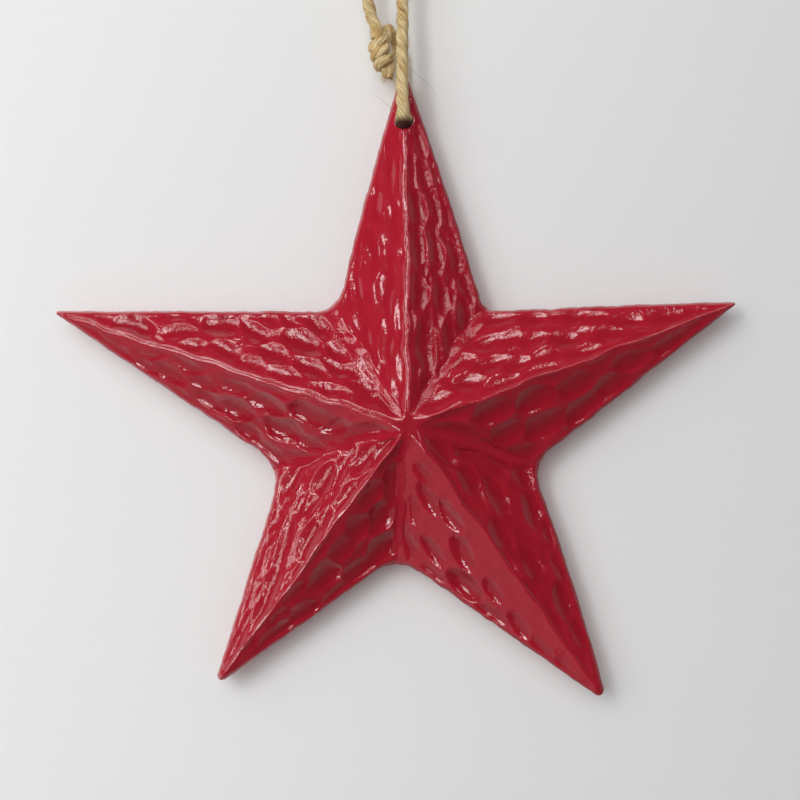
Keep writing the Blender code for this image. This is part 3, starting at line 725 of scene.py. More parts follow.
def cut_depths(plan, own, planes, base, settings):
    """How deep the cuts lie under the base: the smooth maximum of nothing and every bowl.

    A bowl is depth * (1 - ahead squared - aside squared), steeper at its entry than at its
    run-out. It hangs under its own facet's plane, also where it reaches into the next one.
    """
    flow = settings.paint_flow
    total = np.ones(len(plan))
    for number, facet in enumerate(FACETS):
        tip, notch = facet_corners(facet)
        close = np.linalg.norm(plan - (tip + notch) / 3, axis=1) < CUTS_REACH
        near, under = plan[close], base[close]
        level = np.where(own[close, number], under, np.maximum(planes[close, number], under))
        for x, z, wx, wz, wide, entry, runout, depth in cuts_of(facet, settings):
            away = near - (x, z)
            # Further out the bowl lies too deep to count.
            hit = np.abs(away).max(1) < max(runout, wide) * 1.4
            ahead = away[hit] @ (wx, wz)
            aside = away[hit] @ (-wz, wx)
            length = np.abs(ahead) / np.where(ahead > 0, runout, entry)
            bowl = 1 - length**2 - (aside / wide) ** 2
            below = depth * bowl - level[hit] + under[hit]
            where = np.flatnonzero(close)[hit]
            total[where] += np.exp(np.clip(below / flow, -30, 60))
    return flow * np.log(total)


def keep_crests(surface, base, plan, settings):
    """Leaves a thin uncut crest with beads of paint along each ridge.

    The surface becomes the smooth maximum of itself and a guard that falls off steeply
    beside the crest, and then the smooth minimum of that and the crest's top.
    """
    flow = settings.paint_flow
    for tip, crest in zip(polar(ARM_TIPS), CRESTS):
        beside = np.abs(plan @ left_of(tip)) / np.linalg.norm(tip)
        on = (plan @ tip > 0) & (beside < CREST_REACH)
        beside, place = beside[on], plan[on]
        uneven = CREST_WIDTHS.height * waves(place, CREST_WIDTHS.length, settings.seed + 3)
        half = crest.half * (1 + uneven)
        bead = np.maximum(-(((beside - crest.bead_place) / half) ** 2), -BEAD_FALL)
        uneven = BEADS.height * waves(place, BEADS.length, settings.seed + 4)
        bead = bead * crest.bead_height * (1 + uneven)
        sharp = settings.peak_relief * (1 - place @ (tip / (tip @ tip)))
        top = sharp - crest.half * CREST_CUT + bead
        guard = np.minimum(top - CREST_STEEPNESS * np.maximum(beside - half, 0), base[on])
        kept = softened(np.stack([surface[on], guard], 1), -flow)
        surface[on] = softened(np.stack([kept, top], 1), flow)


def keep_valleys(surface, inward, plan, settings):
    """Leaves a flat strip along the bottom of each valley, lower near the peak.

    The surface becomes the smooth maximum of itself and the strip.
    """
    start, full = STRIP_FADE
    for notch, strip in zip(polar(NOTCHES), VALLEY_STRIPS):
        beside = np.abs(plan @ left_of(notch)) / np.linalg.norm(notch)
        on = (plan @ notch > 0) & (beside < STRIP_REACH) & (inward > settings.rim_width)
        bottom = settings.peak_relief * (1 - plan[on] @ (notch / (notch @ notch)))
        far = plan[on] @ notch / np.linalg.norm(notch)
        fade = np.clip((far - start) / full, STRIP_LEAST, 1)
        uneven = STRIPS.height * waves(plan[on], STRIPS.length, settings.seed + 10)
        bottom += strip * fade * (1 + uneven)
        surface[on] = softened(np.stack([surface[on], bottom], 1), -STRIP_FLOW)


def wear_peak(surface, plan, settings):
    """Rounds the peak off: the smooth minimum of the surface and a level just below it."""
    middle = np.linalg.norm(plan, axis=1) < PEAK_REACH
    worn = settings.peak_relief - settings.peak_wear
    worn = worn + WORN_PEAK.height * waves(plan, WORN_PEAK.length, settings.seed + 7)
    surface[middle] = softened(np.stack([surface, worn], 1)[middle], PEAK_FLOW)


def front_heights(plan, own, inward, hole, settings):
    """Height of the front above the rim's plane at each place.

    The base slopes from rim to peak, and the cuts are taken from it. They get shallow
    towards the rim and the hole. Crests, valleys, the peak and the hole's mouth follow.
    """
    planes = uncut_planes(plan, settings)
    across_valley = np.array(
        [
            next(k for k, g in enumerate(FACETS) if g.notch == f.notch and g is not f)
            for f in FACETS
        ]
    )
    here, owner = np.arange(len(plan)), own.argmax(1)
    pair = np.stack([planes[here, owner], planes[here, across_valley[owner]]], 1)
    base = softened(pair, -settings.valley_round)
    depth = cut_depths(plan, own, planes, base, settings)
    depth *= np.clip((inward - CUTS_FROM_RIM) / RIM_FADE, RIM_DEPTH, 1)
    mouth = np.linalg.norm(plan - hole, axis=1) - settings.hole_diameter / 2
    depth *= np.clip(mouth / HOLE_FADE, 0, 1) ** 0.7
    surface = base - depth
    grit = np.array([facet.grit for facet in FACETS])[owner]
    surface += SWELLS.height * waves(plan, SWELLS.length, settings.seed + 1)
    surface += RIPPLES.height * grit * waves(plan, RIPPLES.length, settings.seed + 2)
    keep_crests(surface, base, plan, settings)
    keep_valleys(surface, inward, plan, settings)
    surface -= MOUTH_DROP * np.clip(1 - mouth / MOUTH_WIDTH, 0, 1) ** 2
    wear_peak(surface, plan, settings)
    return surface, base - surface, grit


def facet_points(facet, along, across, angles, reaches):
    """The facet's points in the plan, with what the surface needs to know of each.

    A point lies at peak + reach(angle) times its share of the way to the rim, so that tips
    and notches are round. With it come that share, the distance from the peak to the
    facet's straight edge, how far that edge faces up and left for its painted highlight,
    and the place along and across the arm.
    """
    tip, notch = facet_corners(facet)
    sharp = along[:, None] * tip + across[:, None] * notch
    out = along + across
    angle = np.arctan2(sharp[:, 1], sharp[:, 0])
    reach = np.interp(angle, angles, reaches, period=2 * math.pi)
    plan = np.stack([np.cos(angle), np.sin(angle)], -1) * (out * reach)[:, None]
    fall = abs(tip[0] * notch[1] - tip[1] * notch[0]) / np.linalg.norm(tip - notch)
    # How far the edge faces up and left, towards the light, which sets its painted highlight.
    highlight_lip = max(0.0, normal_towards(tip - notch, notch) @ HIGHLIT_EDGES_FACE)
    ridge = tip / np.linalg.norm(tip)
    run = np.stack([plan @ ridge, plan @ left_of(ridge)], -1)
    return plan, out, np.full(along.size, fall), np.full(along.size, highlight_lip), run


def wandered(plan, inward, hole, settings):
    """The places moved as an unsteady hand would, though not at the rim or the hole."""
    steady, near_hole, fading = 0.004, 0.004, 0.006
    inner = np.clip(inward / steady, 0, 1)
    off_hole = np.clip((np.linalg.norm(plan - hole, axis=1) - near_hole) / fading, 0, 1)
    amount = settings.hand_wander * inner * off_hole
    wander = np.stack([waves(plan, WANDER_LENGTH, settings.seed + k) for k in (5, 6)], -1)
    return plan + wander * amount[:, None]


def side_and_back(rim, front, settings):
    """Rings of points behind the rim: SIDE_RINGS on the side, and then two on the back.

    The side goes straight back from the front's rim to the back's edge, where a bevel eases
    it. The last ring lies halfway to the middle.
    """
    half, ease = settings.edge_thickness / 2, settings.back_ease
    outward = unit_rows(rim)
    levels = (
        (rim, front * 0.6),
        (rim, half - ease),
        (rim - outward * ease, half),
        (rim * 0.5, half),
    )
    rings = [
        np.column_stack([places[:, 0], np.full(len(rim), y), places[:, 1]])
        for places, y in levels
    ]
    return np.concatenate(rings)


def faced_forwards(faces, points):
    """The front's faces, with those that look backwards turned round."""
    a, b, c = (points[faces[:, k]] for k in range(3))
    up = np.cross(b - a, c - a)[:, 1]
    faces[up > 0] = faces[up > 0][:, ::-1]
    return faces


def star_body(settings):
    """The carved star as one closed mesh, and the hole's place in its plan.

    Ten facets share their ridges and valleys, and the side and the flat back follow the
    rim's own points. A quarter of a circle rounds the front down to the rim.
    """
    angles, reaches = outline_reach(settings)
    top_tip = polar(ARM_TIPS)[0]
    hole = top_tip * (1 - HOLE_FROM_CORNER / np.linalg.norm(top_tip))
    values, faces, joins, owners, offset = [], [], [], [], 0
    for number, facet in enumerate(FACETS):
        along, across, squares, corners = facet_grid(facet, settings)
        values.append(facet_points(facet, along, across, angles, reaches))
        faces.append(squares + offset)
        joins.append(corners + offset)
        owners.append(np.full(along.size, number))
        offset += along.size
    values = [np.concatenate(parts) for parts in zip(*values)]

    # Neighbouring facets meet in the same points, which become one.
    keys = np.round(values[0] * WELDING).astype(np.int64)
    _, first, same = np.unique(keys, axis=0, return_index=True, return_inverse=True)
    same = same.ravel()
    own = np.zeros((len(first), len(FACETS)), bool)
    own[same, np.concatenate(owners)] = True
    plan, out, fall, highlight_lip, run = (value[first] for value in values)
    quads, triangles = same[np.concatenate(faces)], same[np.concatenate(joins)]
    # The squares of each arm's last row end in one point.
    at_tip = quads[:, 1] == quads[:, 2]
    triangles = np.concatenate([quads[at_tip][:, [0, 1, 3]], triangles])
    quads = quads[~at_tip]

    inward = (1 - out) * fall
    surface, depth, grit = front_heights(plan, own, inward, hole, settings)
    edge = np.clip(inward / settings.rim_width, 0, 1)
    surface -= settings.rim_drop * (1 - np.sqrt(1 - (1 - edge) ** 2))
    half = settings.edge_thickness / 2
    surface = np.maximum(surface, THINNEST - half)
    moved = wandered(plan, inward, hole, settings)
    front = np.column_stack([moved[:, 0], -(half + surface), moved[:, 1]])

    ring = np.flatnonzero(out > 1 - 1e-7)
    ring = ring[np.argsort(np.arctan2(plan[ring, 1], plan[ring, 0]))]
    count = len(ring)
    strips = side_and_back(plan[ring], front[ring, 1], settings)
    points = np.concatenate([front, strips, [[0.0, half, 0.0]]])
    rings = np.concatenate([ring[None], len(front) + np.arange(len(strips)).reshape(-1, count)])
    following = np.roll(rings, -1, 1)
    sides = np.stack([rings[:-1], rings[1:], following[1:], following[:-1]], -1).reshape(-1, 4)
    last = np.full(count, len(points) - 1)
    fan = np.stack([rings[-1], last, following[-1]], -1)
    turned = [faced_forwards(kind, points) for kind in (quads, triangles)]
    mesh = bpy.data.meshes.new("star")
    mesh.from_pydata(points, [], [face for kind in (*turned, sides, fan) for face in kind.tolist()])

    # On the back the brush strokes run straight from side to side.
    strokes = strips[SIDE_RINGS * count :, [0, 2]]
    run = np.concatenate([run, np.tile(run[ring], (SIDE_RINGS, 1)), strokes, [[0.0, 0.0]]])
    behind = len(points) - len(front)
    on_side = np.arange(behind) < SIDE_RINGS * count
    for name, ahead, rest in (
        ("cut_depth", depth, np.zeros(behind)),
        ("grit", grit, np.full(behind, SIDE_GRIT)),
        # The painted highlight along the edges that face up and left.
        ("highlight_lip", highlight_lip * np.clip(1 - inward / HIGHLIGHT_WIDTH, 0, 1), np.zeros(behind)),
        ("side", np.clip(1 - inward / EDGE_WIDTH, 0, 1), on_side),
        ("back", np.zeros(len(front)), ~on_side),
    ):
        set_attribute(mesh, name, np.concatenate([ahead, rest]))
    set_attribute(mesh, "along", run[:, 0])
    set_attribute(mesh, "across", run[:, 1])
    mesh.update()
    return mesh, hole


def drill(obj, place, settings, wood):
    """Cuts the twine's hole and applies it; the hole's wall takes the bare wood."""
    turn = np.linspace(0, 2 * math.pi, DRILL_SIDES, endpoint=False)
    radius = settings.hole_diameter / 2
    circle = np.stack([np.cos(turn), np.zeros(DRILL_SIDES), np.sin(turn)], -1) * radius + place
    points = np.concatenate([circle - (0, DRILL_REACH, 0), circle + (0, DRILL_REACH, 0)])
    here = np.arange(DRILL_SIDES)
    after = np.roll(here, -1)
    walls = np.stack([here + DRILL_SIDES, after + DRILL_SIDES, after, here], -1)
    ends = [here.tolist(), (here + DRILL_SIDES)[::-1].tolist()]
    mesh = bpy.data.meshes.new("drill")
    mesh.from_pydata(points, [], walls.tolist() + ends)
    mesh.materials.append(wood)
    cutter = linked(bpy.data.objects.new("drill", mesh))
    cut = obj.modifiers.new("hole", "BOOLEAN")
    cut.operation = "DIFFERENCE"
    cut.solver = "EXACT"
    cut.object = cutter
    cut.material_mode = "TRANSFER"
    applied(obj)
    bpy.data.objects.remove(cutter)


def applied(obj):
    """Makes the modifiers' result the object's own mesh."""
    graph = bpy.context.evaluated_depsgraph_get()
    graph.update()
    done = bpy.data.meshes.new_from_object(obj.evaluated_get(graph))
    obj.modifiers.clear()
    obj.data = done


def shade_star(mesh):
    """Smooth shading up to real edges, and a back that is flat right up to its eased rim."""
    mesh.set_sharp_from_angle(angle=math.radians(SHARP_FROM))
    facing = np.empty(len(mesh.polygons) * 3)
    mesh.polygons.foreach_get("normal", facing)
    mesh.polygons.foreach_set("use_smooth", facing.reshape(-1, 3)[:, 1] < FACES_BACK)


def run_along(points):
    """Distance along a line to each of its points."""
    return np.concatenate([[0], np.linalg.norm(np.diff(points, axis=0), axis=1).cumsum()])


def smooth_curve(route, step):
    """Evenly spaced points of a Catmull-Rom curve through the route's points."""
    route = np.array(route, float)
    ends = np.concatenate([[2 * route[0] - route[1]], route, [2 * route[-1] - route[-2]]])
    t = np.linspace(0, 1, 24, endpoint=False)[None, :, None]
    p0, p1, p2, p3 = (ends[k : len(ends) - 3 + k, None] for k in range(4))
    curve = 0.5 * (
        2 * p1
        + (p2 - p0) * t
        + (2 * p0 - 5 * p1 + 4 * p2 - p3) * t**2
        + (3 * p1 - p0 - 3 * p2 + p3) * t**3
    )
    points = np.concatenate([curve.reshape(-1, 3), route[-1:]])
    run = run_along(points)
    want = np.linspace(0, run[-1], max(2, round(run[-1] / step)) + 1)
    return np.stack([np.interp(want, run, points[:, k]) for k in range(3)], -1), run[-1]


def carried_frame(points):
    """Tangents and two normals at each point, turned as little as possible on the way."""
    tangent = unit_rows(np.gradient(points, axis=0))
    normal = np.empty_like(tangent)
    normal[0] = unit_rows(np.cross(tangent[0], (0.3, 1.0, 0.2)))
    for k in range(1, len(points)):
        carried = normal[k - 1] - tangent[k] * (normal[k - 1] @ tangent[k])
        normal[k] = carried / np.linalg.norm(carried)
    return tangent, normal, np.cross(tangent, normal)


def spoke(turn, first, second):
    """The direction at a turn between two normals: cos turn * first + sin turn * second."""
    return np.cos(turn) * first + np.sin(turn) * second


def ply_surface(line, ply, strand, diameter, settings, taper, swelling):
    """One ply's rings of points, and each point's place along and around its fibres.

    A ply's middle winds around the line as a helix, and its section is a circle whose
    radius sways a little: middle + radius * (cos turn * normal + sin turn * binormal).
    """
    run = run_along(line)
    _, normal, binormal = carried_frame(line)
    ply_radius = diameter / 2 * settings.ply_share
    lay_radius = diameter / 2 - ply_radius
    wound = 2 * math.pi * (ply / 3 - run / settings.lay) + FIRST_PLY_TURN
    seed = settings.seed + 31 * strand + ply
    wound = wound + LAY_WAVER.height * waves(run[:, None], LAY_WAVER.length, seed)
    sway = 1 + PLY_SWAY.height * waves(run[:, None], PLY_SWAY.length, seed + 7)
    end = np.clip(np.minimum(run, run[-1] - run) / (diameter * 0.3) + 1 - taper, 0, 1)
    middle = line + (lay_radius * end)[:, None] * spoke(wound[:, None], normal, binormal)
    _, first, second = carried_frame(middle)
    turn = 2 * math.pi * np.arange(settings.sides) / settings.sides
    ring = spoke(turn[None, :, None], first[:, None], second[:, None])
    near_hole = (((line - SWELLING_MIDDLE) / SWELLING_REACH) ** 2).sum(-1)
    radius = (ply_radius * sway * (1 + swelling * np.exp(-near_hole)) * end**0.5)[:, None]
    far, about = np.broadcast_arrays(run[:, None], turn[None])
    # Lumps are four times as long as they are wide.
    lumps = np.stack([far * 0.25, np.cos(about) * ply_radius, np.sin(about) * ply_radius], -1)
    lumpy = waves(lumps, LUMPS.length, settings.seed + 60 + ply)
    radius = radius * (1 + LUMPS.height * lumpy)
    tube = middle[:, None] + ring * radius[..., None]
    # Each strand and each ply has its own stretch of the fibres' pattern.
    twist = 2 * math.pi * ((about / (2 * math.pi) + far / FIBRE_LAY + ply * 0.37) % 1.0)
    spun = np.stack([far + 0.3 * strand + 0.1 * ply, np.cos(twist), np.sin(twist)], -1)
    return tube, spun


def laid_twine(name, lines, diameter, settings, look, taper=0.0, swelling=0.0):
    """Three-ply twine along each line as one mesh.

    A taper of 1 draws its ends to points, and the swelling is what it gains in the hole.
    """
    points, coords, faces, offset = [], [], [], 0
    for strand, line in enumerate(lines):
        for ply in range(3):
            tube, spun = ply_surface(line, ply, strand, diameter, settings, taper, swelling)
            index = np.arange(tube.shape[0] * tube.shape[1]).reshape(tube.shape[:2]) + offset
            after = np.roll(index, -1, 1)
            quads = np.stack([index[:-1], index[1:], after[1:], after[:-1]], -1).reshape(-1, 4)
            faces += quads.tolist() + [index[0].tolist(), index[-1][::-1].tolist()]
            points.append(tube.reshape(-1, 3))
            coords.append(spun.reshape(-1, 3))
            offset += index.size
    points = np.concatenate(points)
    mesh = bpy.data.meshes.new(name)
    mesh.from_pydata(points, [], faces)
    set_attribute(mesh, "spun", np.concatenate(coords))
    # Painted shade on the twine where it goes into the hole.
    below = np.clip((SHADED_BELOW - points[:, 2]) / BELOW_FADE, 0, 1)
    in_front = np.clip((SHADED_BEFORE - points[:, 1]) / BEFORE_FADE, 0, 1)
    set_attribute(mesh, "hole_shade_and_dark_hair", below * in_front)
    mesh.shade_smooth()
    mesh.materials.append(look)
    return linked(bpy.data.objects.new(name, mesh))


def knot_strands(step):
    """The strands inside the knot: one runs straight through, the other wraps it.

    The wrap is a helix: middle line + radius * (cos turn * sideways + sin turn * forwards).
    """
    steps = 26
    turn = np.linspace(0.4, 5.9 * math.pi, steps)[:, None]
    share = np.linspace(0.10, 0.97, steps)[:, None] + 0.03 * np.sin(0.6 * turn + 1.0)
    middle = KNOT_TOP + (KNOT_BOTTOM - KNOT_TOP) * share
    wrap = middle + KNOT_RADIUS * (1 + 0.12 * np.sin(1.4 * turn + 2.2)) * (
        np.cos(turn) * (0.954, 0.0, 0.297) + np.sin(turn) * (0.0, -1.0, -0.04)
    )
    through = KNOT_TOP + (KNOT_BOTTOM - KNOT_TOP) * np.linspace(0.1, 0.9, 4)[:, None]
    routes = [
        np.concatenate([[entry], inside, [end]])
        for entry, inside, end in zip(KNOT_ENTRIES, (through, wrap), KNOT_ENDS)
    ]
    return [smooth_curve(route, step)[0] for route in routes]


def fibre_bends(lines, thick, count, frayed, hairs, rng):
    """Each fibre's root, direction, length and bend.

    Most are spread along the lines. The frayed ones leave a cut end, and each long hair
    runs from its first place to its second.
    """
    line, tangent, normal, binormal = np.concatenate(
        [np.stack([line, *carried_frame(line)]) for line in lines], 1
    )
    at = rng.integers(2, len(line) - 2, count)
    turn = rng.uniform(0, 2 * math.pi, count)
    out = spoke(turn[:, None], normal[at], binormal[at])
    root = line[at] + out * thick * ROOT_SHARE
    way = tangent[at] * rng.choice([-1, 1], count)[:, None] * rng.uniform(0.5, 1.2, (count, 1))
    way = way + out * rng.uniform(0.2, 1.3, (count, 1))
    way = unit_rows(way + rng.normal(0, 0.25, (count, 3)))
    length = SHORTEST_FIBRE + FIBRE_SPREAD * rng.beta(1.3, 4.5, count)
    if frayed:
        ends = np.repeat(np.cumsum([len(line) for line in lines]) - 1, frayed)
        spread = (root - line[at])[: len(ends)]
        root[: len(ends)] = line[ends] + spread * rng.uniform(0, 0.9, (len(ends), 1))
        way[: len(ends)] = unit_rows(tangent[ends] + rng.normal(0, 0.33, (len(ends), 3)))
        length[: len(ends)] = rng.uniform(*FRAYED_LENGTHS, len(ends))
    for number, (first, last) in enumerate(hairs):
        reach = np.subtract(last, first)
        root[-1 - number], length[-1 - number] = first, np.linalg.norm(reach)
        way[-1 - number] = reach / length[-1 - number]
    stiffness = np.clip(LIMP_FIBRE / length, 0, 1)[:, None] ** 2
    bend = (rng.normal(0, 0.35, (count, 3)) - out * 0.15) * stiffness
    return root, way, length, bend


def stray_fibres(name, lines, thick, count, frayed, hairs, settings, look):
    """Thin tapering fibres that stand out of the twine, each a bent three-sided spike.

    A fibre's middle is root + length * (share * direction + share squared * bend).
    """
    rng = np.random.default_rng(settings.seed + 900)
    rings = 6
    root, way, length, bend = fibre_bends(lines, thick, count, frayed, hairs, rng)
    share = np.linspace(0, 1, rings)[None, :, None]
    bent = way[:, None] * share + bend[:, None] * share**2
    middle = root[:, None] + length[:, None, None] * bent
    side = unit_rows(np.cross(way, rng.normal(size=(count, 3))))
    corner = 2 * math.pi * np.arange(3) / 3
    spokes = spoke(corner[None, :, None], side[:, None], np.cross(way, side)[:, None])
    is_hair = length > LONG_FIBRE
    coarse = np.where(is_hair, 1.5, 1.0)[:, None, None, None]
    radius = settings.fibre_radius * coarse * (1 - 0.75 * share[..., None])
    tube = (middle[:, :, None] + spokes[:, None] * radius).reshape(-1, 3)
    index = np.arange(count * rings * 3).reshape(count, rings, 3)
    after = np.roll(index, -1, 2)
    quads = np.stack([index[:, :-1], index[:, 1:], after[:, 1:], after[:, :-1]], -1).reshape(-1, 4)
    caps = index[:, 0].tolist() + index[:, -1, ::-1].tolist()
    mesh = bpy.data.meshes.new(name)
    mesh.from_pydata(tube, [], quads.tolist() + caps)
    spun = np.zeros((len(tube), 3))
    spun[:, 0] = np.repeat(rng.uniform(0, 1, count), rings * 3)
    set_attribute(mesh, "spun", spun)
    # The long hairs get their own dark colour through the mix that paints the shade in the hole.
    set_attribute(mesh, "hole_shade_and_dark_hair", np.repeat(np.where(is_hair, 0.8, 0.0), rings * 3))
    mesh.shade_smooth()
    mesh.materials.append(look)
    return linked(bpy.data.objects.new(name, mesh))


def node(tree, kind, inputs=None, **values):
    """A node with its settings and input values; an input that is a socket is linked."""
    made = tree.nodes.new(kind)
    for key, value in values.items():
        setattr(made, key, value)
    for key, value in (inputs or {}).items():
        socket = made.inputs[key]
        if isinstance(value, bpy.types.NodeSocket):
            tree.links.new(value, socket)
        else:
            socket.default_value = value
    return made


def attribute(tree, name, output="Fac"):
    return node(tree, "ShaderNodeAttribute", attribute_name=name).outputs[output]


def calculated(tree, operation, *values):
    return node(tree, "ShaderNodeMath", dict(enumerate(values)), operation=operation).outputs[0]


def stretched(tree, vector, scale):
    inputs = {0: vector, 1: scale}
    return node(tree, "ShaderNodeVectorMath", inputs, operation="MULTIPLY").outputs[0]


def noise(tree, place, scale, detail):
    inputs = {"Vector": place, "Scale": scale, "Detail": detail}
    return node(tree, "ShaderNodeTexNoise", inputs).outputs["Fac"]


def mapped(tree, value, values, results):
    """A value's range turned into another range, and held at its ends."""
    inputs = {"Value": value, "From Min": values[0], "From Max": values[1]}
    inputs |= {"To Min": results[0], "To Max": results[1]}
    return node(tree, "ShaderNodeMapRange", inputs).outputs[0]


def mixed(tree, share, first, second, blend="MIX"):
    """A colour mixed with a second one, which is a socket or three numbers."""
    if not isinstance(second, bpy.types.NodeSocket):
        second = (*second, 1.0)
    inputs = {"Factor": share, 6: first, 7: second}
    made = node(tree, "ShaderNodeMix", inputs, data_type="RGBA", blend_type=blend)
    return made.outputs[2]


def bumped(tree, height, strength, distance):
    inputs = {"Height": height, "Strength": strength, "Distance": distance}
    return node(tree, "ShaderNodeBump", inputs).outputs[0]


def ramp(tree, source, *stops):
    """Colours along a value's range, each stop a place and a colour."""
    made = node(tree, "ShaderNodeValToRGB", {"Fac": source})
    elements = made.color_ramp.elements
    while len(elements) < len(stops):
        elements.new(0.5)
    for element, (place, colour) in zip(elements, stops):
        element.position = place
        element.color = (*colour, 1.0)
    return made.outputs["Color"]


def material(name, colour, roughness):
    """A new material, its nodes and its shader."""
    made = bpy.data.materials.new(name)
    made.use_nodes = True
    made.diffuse_color = (*colour, 1.0)
    shader = made.node_tree.nodes["Principled BSDF"]
    shader.inputs["Base Color"].default_value = (*colour, 1.0)
    shader.inputs["Roughness"].default_value = roughness
    return made, made.node_tree, shader


def paint_film(tree):
    """The film's height, tone and gloss: streaks along the arm, fine pimples and swells."""
    place = node(tree, "ShaderNodeTexCoord").outputs["Object"]
    lengthways = calculated(tree, "MULTIPLY", attribute(tree, "along"), 0.16)
    brush_at = node(
        tree, "ShaderNodeCombineXYZ", {"X": lengthways, "Y": attribute(tree, "across")}
    ).outputs[0]
    streaks = noise(tree, brush_at, 900.0, 3.0)
    pimples = noise(tree, place, 1800.0, 1.0)
    swells = noise(tree, place, 420.0, 2.0)
    # The brush strokes show more on the flat back.
    brushed = mapped(tree, attribute(tree, "back"), (0.0, 1.0), (0.1, 1.2))
    low = calculated(tree, "MULTIPLY", streaks, brushed)
    gritty = calculated(tree, "MULTIPLY", pimples, attribute(tree, "grit"))
    fine = calculated(tree, "MULTIPLY_ADD", gritty, 1.2, low)
    height = calculated(tree, "MULTIPLY_ADD", swells, 1.4, fine)
    gloss = mapped(tree, streaks, (0.3, 0.7), (0.18, 0.28))
    return height, swells, gloss


def red_enamel(settings):
    """Red paint, darker in the cuts with painted shade as well as thicker paint, under a glossy
    varnish coat.
    """
    made, tree, shader = material("red_enamel", (0.43, 0.008, 0.018), 0.28)
    height, tone, gloss = paint_film(tree)
    # Painted shade: the paint darkens with the cut's depth, for the shade in the cuts as well as
    # thicker paint.
    depths = ramp(
        tree,
        mapped(tree, attribute(tree, "cut_depth"), (0.0, DEEP), (0.0, 1.0)),
        (0.0, settings.paint),
        (0.45, settings.cut_paint_and_shade),
        (1.0, settings.deep_paint_and_shade),
    )
    mottled = mixed(tree, tone, depths, settings.swell_paint)
    # Painted highlight: paler paint along the edges that face up and left, where the light catches
    # them.
    highlight_share = calculated(tree, "MULTIPLY", attribute(tree, "highlight_lip"), tone)
    edged = mixed(tree, highlight_share, mottled, settings.highlight_paint)
    tree.links.new(edged, shader.inputs["Base Color"])
    tree.links.new(gloss, shader.inputs["Roughness"])
    shader.inputs["Specular IOR Level"].default_value = 0.05
    # The brush left little varnish on the star's sides.
    varnish = mapped(tree, attribute(tree, "side"), (0.0, 1.0), (0.9, 0.15))
    tree.links.new(varnish, shader.inputs["Coat Weight"])
    shader.inputs["Coat Roughness"].default_value = 0.09
    bump = bumped(tree, height, 1.0, 0.00006)
    tree.links.new(bump, shader.inputs["Normal"])
    tree.links.new(bump, shader.inputs["Coat Normal"])
    return made


def bare_wood(settings):
    """Unpainted wood grain inside the drilled hole, darkened with painted shade."""
    made, tree, shader = material("bare_wood", (0.09, 0.03, 0.015), 0.8)
    grain = noise(tree, node(tree, "ShaderNodeTexCoord").outputs["Object"], 1400.0, 3.0)
    grained = ramp(tree, grain, (0.3, settings.shaded_dark_wood), (0.7, settings.shaded_light_wood))
    tree.links.new(grained, shader.inputs["Base Color"])
    tree.links.new(bumped(tree, grain, 0.8, 0.0001), shader.inputs["Normal"])
    return made


def spun_fibres(settings):
    """Node group for all twine: the colour and the height of fibres laid side by side.

    Flecked says how dark its small flecks are.
    """
    group = bpy.data.node_groups.new("spun_fibres", "ShaderNodeTree")
    sockets = group.interface
    sockets.new_socket("Flecked", in_out="INPUT", socket_type="NodeSocketFloat")
    sockets.new_socket("Colour", in_out="OUTPUT", socket_type="NodeSocketColor")
    sockets.new_socket("Height", in_out="OUTPUT", socket_type="NodeSocketFloat")
    flecked = node(group, "NodeGroupInput").outputs["Flecked"]
    spun = attribute(group, "spun", "Vector")
    fibre = noise(group, stretched(group, spun, (330.0, 4.6, 4.6)), 1.0, 4.0)
    straw = ramp(
        group,
        fibre,
        (0.30, settings.gap),
        (0.44, settings.straw),
        (0.60, settings.pale_straw),
        (0.78, settings.bright_straw),
    )
    flecks = noise(group, stretched(group, spun, (900.0, 3.2, 3.2)), 1.0, 2.0)
    fleck = mapped(group, flecks, (0.56, 0.66), (0.0, flecked))
    straw = mixed(group, fleck, straw, settings.fleck)
    patches = noise(group, stretched(group, spun, (90.0, 0.6, 0.6)), 1.0, 2.0)
    tint = ramp(group, patches, (0.35, settings.brown), (0.6, WHITE))
    straw = mixed(group, 1.0, straw, tint, "MULTIPLY")
    # Painted shade where the twine goes into the hole, and the long hairs' own dark colour.
    hole_shade_and_dark_hair = mixed(group, attribute(group, "hole_shade_and_dark_hair"), straw, settings.hole_shade_and_hair_colour)
    node(group, "NodeGroupOutput", {"Colour": hole_shade_and_dark_hair, "Height": fibre})
    return group


def jute(name, fibres, flecked):
    """Dry jute, made of the spun fibres."""
    made, tree, shader = material(name, (0.50, 0.39, 0.20), 0.85)
    laid = node(tree, "ShaderNodeGroup", {"Flecked": flecked}, node_tree=fibres).outputs
    tree.links.new(laid["Colour"], shader.inputs["Base Color"])
    shader.inputs["Specular IOR Level"].default_value = 0.15
    shader.inputs["Sheen Weight"].default_value = 0.06
    tree.links.new(bumped(tree, laid["Height"], 1.0, 0.00020), shader.inputs["Normal"])
    return made


